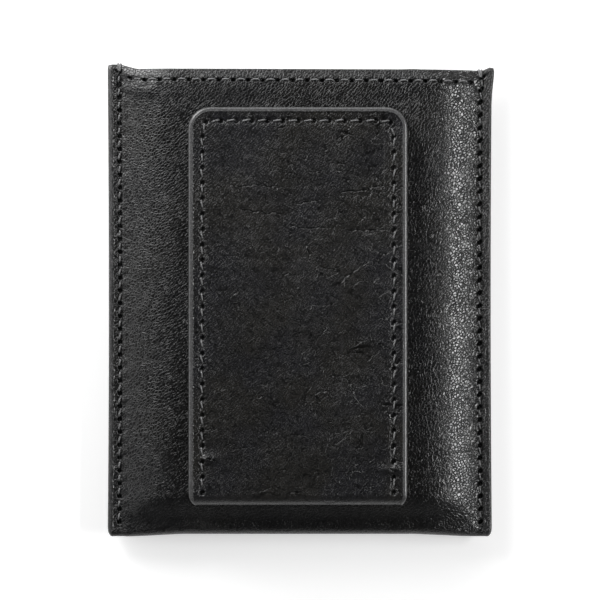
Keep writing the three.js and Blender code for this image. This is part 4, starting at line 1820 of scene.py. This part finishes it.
@dataclass
class MoneyClip:
    """The folded clip: outer leather, gripping face, painted edges, stitching, boards and magnets."""

    inset: float = 2.85  # of the stitches, from the edge
    pitch: float = 3.3
    corner: float = 4.5  # of a free end, and width of the fine rows
    seam_short: float = 0.4  # of the fold
    lean: float = 34.0  # degrees
    slant: float = 0.32
    shown: tuple[Pair, Pair] = ((0.1, 0.6), (0.4, 0.9))  # on the right side, and elsewhere
    valley: Ridge = Ridge(-0.2, 0.0, 0.7)
    valley_end: Margin = Margin(1.0, -1.0, 1.5)  # from the end of the flap
    face_valley: Ridge = Ridge(-0.2, 0.0, 0.6)
    face_sink: float = 0.1  # of the face's thread, below its valley
    face_holes: dict[str, float] = field(default_factory=lambda: {"depth": 0.3, "lip": 0.0, "sink": 0.7})
    puckers: Ridge = Ridge(0.02, 1.1, 0.7)
    edge_depth: float = 0.75
    bead: float = 0.82  # width
    bead_rise: float = 0.13
    bead_fall: float = 0.12  # run of the step behind it
    waves: float = 0.06
    waves_run: float = 1.5  # from the stitches inwards
    bulges: tuple[Lump, ...] = (Lump(-19.6, 75.0, 2.0, 1.0, 0.42), Lump(19.4, 77.2, 2.0, 1.0, 0.42))
    nicks: tuple[Lump, ...] = (Lump(-15.6, 1.6, 0.22, 1.3, -0.15), Lump(15.5, 1.6, 0.22, 1.3, -0.15))
    worn_fold: Ridge = Ridge(0.3, 0.0, 2.0)
    paint_out: float = 0.12
    paint_short: float = 0.03  # of the gripping face
    paint_start: float = 0.1  # from the fold
    paint_sides: int = 12

    def strip(self, node: str, outward: float) -> tuple[ClipShape, float]:
        """Shape and thickness of the strip that the named solid is a leg of.

        Args:
            node: Name of the leg's solid.
            outward: Which way its outer face looks.

        Returns:
            The shape and the thickness.
        """
        leg = Extent.of(node)
        middle = ClipShape(0.0, outward, 1.0).middle[1]
        start = float(leg.low[2] if outward > 0 else leg.high[2]) - middle
        return ClipShape(start, outward, np.pi * (start + outward * leg.thickness / 2)), leg.thickness

    def seam(self, shape: ClipShape, of_flap: bool, seed: int) -> StitchRun:
        """The U of stitches round a leg, from the fold to the free end and back.

        Args:
            shape: Where the strip lies.
            of_flap: Whether the leg is the flap.
            seed: Seed of the stitches.

        Returns:
            The stitches.
        """
        low_x, high_x = shape.leg.low[0] + self.inset, shape.leg.high[0] - self.inset
        radius = self.corner - self.inset
        end, start = self.inset, shape.leg_run - self.seam_short
        left = arc((low_x + radius, end + radius), radius, 180.0, 270.0)
        right = arc((high_x - radius, end + radius), radius, 270.0, 360.0)
        path = np.concatenate([[[low_x, start]], left, right, [[high_x, start]]])
        if not of_flap:
            path = path * (1, -1) + (0, shape.run)
        holes = even_points(path, self.pitch)
        on_right = 0.5 * (holes[:-1, 0] + holes[1:, 0]) > high_x - 0.3
        return StitchRun(
            holes,
            hole=(0.64, 0.56),
            lean=self.lean if of_flap else -self.lean,
            depth=0.55,
            slant=np.where(on_right, -self.slant, self.slant),
            shown=tuple(np.where(on_right, *ends) for ends in zip(*self.shown)),
            seed=seed,
        )

    def sheet(self, shape: ClipShape, spacings: Sequence[float], **cut: Any) -> Sheet:
        """The flat strip of both legs and the fold.

        Args:
            shape: Where the strip lies.
            spacings: Widest spacing of its stations across, and along the flap, the fold and the base.
            **cut: Its thickness, edge, rows and outer step.

        Returns:
            The sheet, ready to be built.
        """
        band = self.corner
        low_x, high_x = float(shape.leg.low[0]), float(shape.leg.high[0])
        stops = [band, shape.leg_run, shape.leg_run + shape.fold_run, shape.run - band]
        return Sheet(
            low=(low_x, 0.0),
            high=(high_x, shape.run),
            corner=band,
            across=graded([low_x + band, high_x - band], spacings[:1], 8),
            along=graded(stops, spacings[1:], 8),
            inner_step=8,
            **cut,
        )

    def hang(self, piece: bpy.types.Object, shape: ClipShape, layer: str, look: Look) -> None:
        """Gives a strip its finish, sets it on no body, and lets it stand for its three solids.

        Args:
            piece: The piece.
            shape: Where the strip lies.
            layer: Layer of the clip that it is.
            look: Its finish and its slot.
        """
        hinge = (0.0, shape.middle[0] * MM)
        base, flap = Extent.of(f"clip_base_{layer}"), Extent.of(f"clip_flap_{layer}")
        ends = ((*hinge, float(base.high[2]) * MM), (*hinge, float(flap.low[2]) * MM))
        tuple(ends[0])
        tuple(ends[1])
        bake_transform(piece)
        fit(piece, *look, "", *(f"clip_{part}_{layer}" for part in ("flap", "fold", "base")))

    def build_leather(self, looks: Wardrobe) -> None:
        """Builds the outer leather of flap, fold and base in one strip that bends at the hinge.

        Args:
            looks: The finishes.
        """
        shape, thickness = self.strip("clip_flap_leather", 1.0)
        run = self.seam(shape, True, 51)

        def relief(x: Array, y: Array, inset: Array) -> Array:
            """Step behind the rim's bead, the seam's valley, slow waves, and bulges and nicks at the fold.

            Args:
                x: Place across.
                y: Place along the flat sheet.
                inset: Distance in from the outline.

            Returns:
                Height of the detail.
            """
            from_seam, past_flap = inset - self.inset, y - shape.leg_run
            beat = np.cos(2 * np.pi * (y - self.corner) / self.pitch)
            height = self.valley.over(from_seam) + self.puckers.over(from_seam) * beat
            height = height + self.waves * smooth(from_seam / self.waves_run) * swell(x, y, 8.0, 9)
            height = height * self.valley_end.over(past_flap)
            height = height - self.bead_rise * eased(inset, self.bead, self.bead_fall)
            height = height + sum(bulge.over(x, y) for bulge in self.bulges)
            return height + sum(nick.over(x, past_flap) for nick in self.nicks) + run.dents(x, y)

        def polish(x: Array, y: Array, inset: Array) -> Array:
            """Burnished rim and worn fold, lighter partly from wear and partly as painted sheen."""
            rim = 1 - eased(inset, self.bead - 0.08, self.bead_fall)
            return np.clip(rim + self.worn_fold.over(y - shape.run / 2), 0.0, 1.0)

        over_seam, over_bead = np.arange(3.35, 2.3, -0.12), (0.94, 0.89, 0.85, 0.82, 0.78)
        insets = np.array([self.corner, 4.0, 3.6, *over_seam, 2.1, 1.8, 1.5, 1.2, *over_bead])
        cut = {"thickness": thickness, "edge": self.edge_depth, "insets": insets, "outer_step": 2}
        sheet = self.sheet(shape, (0.2, 0.2, 0.2, 1.6), **cut)
        piece = sheet.build("clip_leather_strip", shape, relief, polish)
        self.hang(piece, shape, "leather", (looks.clip, Slot.CLIP))
        thread = run.thread("flap_stitches", shape, thickness + self.valley.height - self.bead_rise)
        fit(thread, looks.thread, Slot.THREAD, "flap", "clip_flap_thread")

    def build_face(self, looks: Wardrobe) -> None:
        """Builds the gripping face: one strip inside the clip, sewn round both legs.

        Args:
            looks: The finishes.
        """
        shape, thickness = self.strip("clip_flap_face", -1.0)
        seams = [self.seam(shape, True, 61), self.seam(shape, False, 62)]
        runs = [replace(seam, **self.face_holes) for seam in seams]

        def relief(x: Array, y: Array, inset: Array) -> Array:
            """The seams' valleys and holes."""
            return self.face_valley.over(inset - self.inset) + sum(run.dents(x, y) for run in runs)

        over_seam = np.arange(3.35, 2.3, -0.13)
        insets = np.array([self.corner, 3.8, *over_seam, 2.0, 1.5, 1.0, 0.6])
        cut = {"thickness": thickness, "edge": thickness / 2, "insets": insets, "outer_step": 4}
        sheet = self.sheet(shape, (0.32, 0.32, 0.1, 0.32), **cut)
        piece = sheet.build("clip_face_strip", shape, relief, plain)
        self.hang(piece, shape, "face", (looks.face, Slot.FACE))
        sewn = (("flap_underside", "flap", "clip_flap_bobbin_thread"), ("base", "case", "clip_base_thread"))
        level = thickness + self.face_valley.height - self.face_sink
        for run, (name, body, node) in zip(runs, sewn):
            thread = run.thread(f"{name}_stitches", shape, level)
            fit(thread, looks.thread, Slot.THREAD, body, node)

    def build_edge(self, name: str, body: str, levels: Pair, looks: Wardrobe) -> None:
        """Builds the painted edge of a leg: a low oval section carried round its three free sides.

        Args:
            name: Name of the piece.
            body: Body that it rides on.
            levels: Lower and upper level of the edge.
            looks: The finishes.
        """
        leg = Extent.of("clip_flap_leather")
        sides = self.paint_sides
        turn = np.linspace(0.0, 2 * np.pi, sides, endpoint=False)
        out = self.paint_out * np.cos(turn)
        squared = np.sign(np.sin(turn)) * np.sqrt(np.abs(np.sin(turn)))
        z = 0.5 * (levels[0] + levels[1]) + 0.5 * (levels[1] - levels[0]) * squared
        radius, start = self.corner, leg.low[1] + self.paint_start
        left = arc((leg.low[0] + radius, leg.high[1] - radius), radius, 180.0, 90.0, 16)
        right = arc((leg.high[0] - radius, leg.high[1] - radius), radius, 90.0, 0.0, 16)
        path = np.concatenate([[[leg.low[0], start]], left, right, [[leg.high[0], start]]])
        ahead = np.gradient(path, axis=0)
        ahead[0], ahead[-1] = (0.0, 1.0), (0.0, -1.0)
        ahead /= np.linalg.norm(ahead, axis=1, keepdims=True)
        aside = np.stack([-ahead[:, 1], ahead[:, 0]], axis=1)
        plan = path[:, None] + aside[:, None] * out[None, :, None]
        points = np.concatenate([plan, np.broadcast_to(z[None, :, None], (*plan.shape[:2], 1))], axis=2)
        caps = [np.arange(sides)[None, :], (len(path) - 1) * sides + np.arange(sides)[None, :]]
        piece = new_piece(name, points.reshape(-1, 3), [grid_faces(len(path), sides, wrap=True), *caps], {})
        close_shell(piece)
        fit(piece, looks.edge, Slot.CLIP, body)

    def build(self, looks: Wardrobe) -> None:
        """Builds the clip, and dresses the boards and magnets that stay as they are.

        Args:
            looks: The finishes.
        """
        self.build_leather(looks)
        self.build_face(looks)
        gap = self.paint_short
        flap = (Extent.of("clip_flap_face").low[2] + gap, Extent.of("clip_flap_leather").low[2])
        base = (Extent.of("clip_base_leather").high[2], Extent.of("clip_base_face").high[2] - gap)
        self.build_edge("flap_painted_edge", "flap", flap, looks)
        self.build_edge("base_painted_edge", "case", base, looks)
        for leg in ("base", "flap"):
            for part, look in (("filler", looks.board), ("magnet", looks.nickel)):
                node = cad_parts[f"clip_{leg}_{part}"]
                node.data.materials.clear()
                node.data.materials.append(look)
                LOG.info("%s: kept, with a new finish", node.name)


# The studio


@dataclass(frozen=True)
class Softbox:
    """A rectangular lamp aimed at the case; sizes in metres, power in watts."""

    name: str
    place: tuple[float, float, float]
    size: Pair
    power: float

    def build(self) -> None:
        """Hangs the lamp."""
        lamp = bpy.data.lights.new(self.name, "AREA")
        lamp.shape = "RECTANGLE"
        lamp.size, lamp.size_y = self.size
        lamp.energy = self.power
        holder = bpy.data.objects.new(self.name, lamp)
        holder.location = self.place
        holder.rotation_euler = (-Vector(self.place)).to_track_quat("-Z", "Y").to_euler()
        bpy.context.scene.collection.objects.link(holder)


@dataclass
class Studio:
    """Pale floor, soft lamps and a camera straight above; sizes in metres.

    The paper glows to the lens and in reflections, and more to the lens between two distances from the case.
    The world is brighter low down than overhead. The camera's lens and sensor are in millimetres.
    """

    floor_half: float = 3.0
    floor_rows: int = 9
    floor_drop: float = 0.00005
    floor_white: float = 0.82
    floor_glow: float = 0.43
    far_glow: float = 0.8
    far_from: Pair = (0.15, 0.6)
    world_low: float = 0.24
    world_high: float = 0.03
    camera_height: float = 0.8
    camera_aim: Pair = (0.00005, 0.00026)
    camera_lens: float = 221.0
    camera_sensor: float = 36.0
    lamps: tuple[Softbox, ...] = (
        Softbox("key", (-0.22, 0.26, 0.20), (0.2, 0.2), 1.3),
        Softbox("left wall", (-0.75, 0.30, 0.24), (0.8, 0.3), 2.4),
        Softbox("far wall", (-0.10, 0.75, 0.24), (0.9, 0.3), 2.9),
        Softbox("strip", (0.52, 0.0, 0.40), (0.4, 0.08), 2.8),
    )

    def floor_material(self) -> bpy.types.Material:
        """Matt white paper that shows white to the lens and in reflections, and keeps the shadow.

        Returns:
            The material.
        """
        bench = Bench.named("studio paper")
        spot = bench.spot()
        tooth = bench.noise(spot, 0.8, 3.0)
        colour = bench.shade(tooth, (self.floor_white - 0.01,) * 3, (self.floor_white,) * 3)
        paper = bench.add("ShaderNodeBsdfDiffuse", {"Color": colour})
        path = bench.add("ShaderNodeLightPath", {})
        seen = bench.maths("MAXIMUM", path.outputs["Is Camera Ray"], path.outputs["Is Glossy Ray"])
        seen = bench.maths("MAXIMUM", seen, path.outputs["Is Transmission Ray"])
        away = bench.add("ShaderNodeVectorMath", {0: spot}, operation="LENGTH").outputs["Value"]
        far = bench.spread(away, self.far_from[0] / MM, self.far_from[1] / MM, 0.0, self.far_glow)
        far = bench.maths("MULTIPLY", far, path.outputs["Is Camera Ray"])
        strength = bench.maths("MULTIPLY_ADD", seen, self.floor_glow, far)
        glow = bench.add("ShaderNodeEmission", {"Strength": strength})
        both = bench.add("ShaderNodeAddShader", {0: paper.outputs[0], 1: glow.outputs[0]})
        bench.add("ShaderNodeOutputMaterial", {"Surface": both.outputs[0]})
        return bench.owner

    def build_floor(self) -> None:
        """Lays the floor: a level grid just under the case."""
        side = np.linspace(-self.floor_half, self.floor_half, self.floor_rows) / MM
        x, y = np.meshgrid(side, side)
        points = np.stack([x, y, np.full_like(x, -self.floor_drop / MM)], axis=-1).reshape(-1, 3)
        faces = grid_faces(self.floor_rows, self.floor_rows, wrap=False)
        floor = new_piece("studio_floor", points, [faces], {})
        floor.data.materials.append(self.floor_material())

    def build_world(self) -> None:
        """Pale walls that darken overhead, white to the lens."""
        world = bpy.data.worlds.new("studio")
        bench = Bench(world)
        toward = bench.add("ShaderNodeTexCoord", {}).outputs["Generated"]
        up = bench.add("ShaderNodeSeparateXYZ", {0: toward}).outputs[2]
        wall = bench.spread(up, 0.0, 1.0, self.world_low, self.world_high)
        seen = bench.add("ShaderNodeLightPath", {}).outputs["Is Camera Ray"]
        strength = bench.maths("MAXIMUM", seen, wall)
        light = bench.add("ShaderNodeBackground", {"Color": (1.0, 1.0, 1.0, 1.0), "Strength": strength})
        bench.add("ShaderNodeOutputWorld", {"Surface": light.outputs[0]})
        bpy.context.scene.world = world

    def build_camera(self) -> None:
        """Hangs the camera straight above the case, with +Y at the top of the picture."""
        lens = bpy.data.cameras.new("camera")
        lens.lens = self.camera_lens
        lens.sensor_width = self.camera_sensor
        camera = bpy.data.objects.new("camera", lens)
        camera.location = (*self.camera_aim, self.camera_height)
        bpy.context.scene.collection.objects.link(camera)
        bpy.context.scene.camera = camera

    def build(self) -> None:
        """Builds the studio and sets plain colours."""
        bpy.context.scene.view_settings.view_transform = "Standard"
        self.build_camera()
        self.build_floor()
        self.build_world()
        for lamp in self.lamps:
            lamp.build()


def main() -> None:
    """Builds the studio, then the case, its card side and its clip."""
    logging.basicConfig(level=logging.INFO, format="%(name)s: %(message)s")
    Studio().build()
    looks = Wardrobe()
    Case().build(looks)
    CardPockets().build(looks)
    MoneyClip().build(looks)


if __name__ == "__main__":
    main()
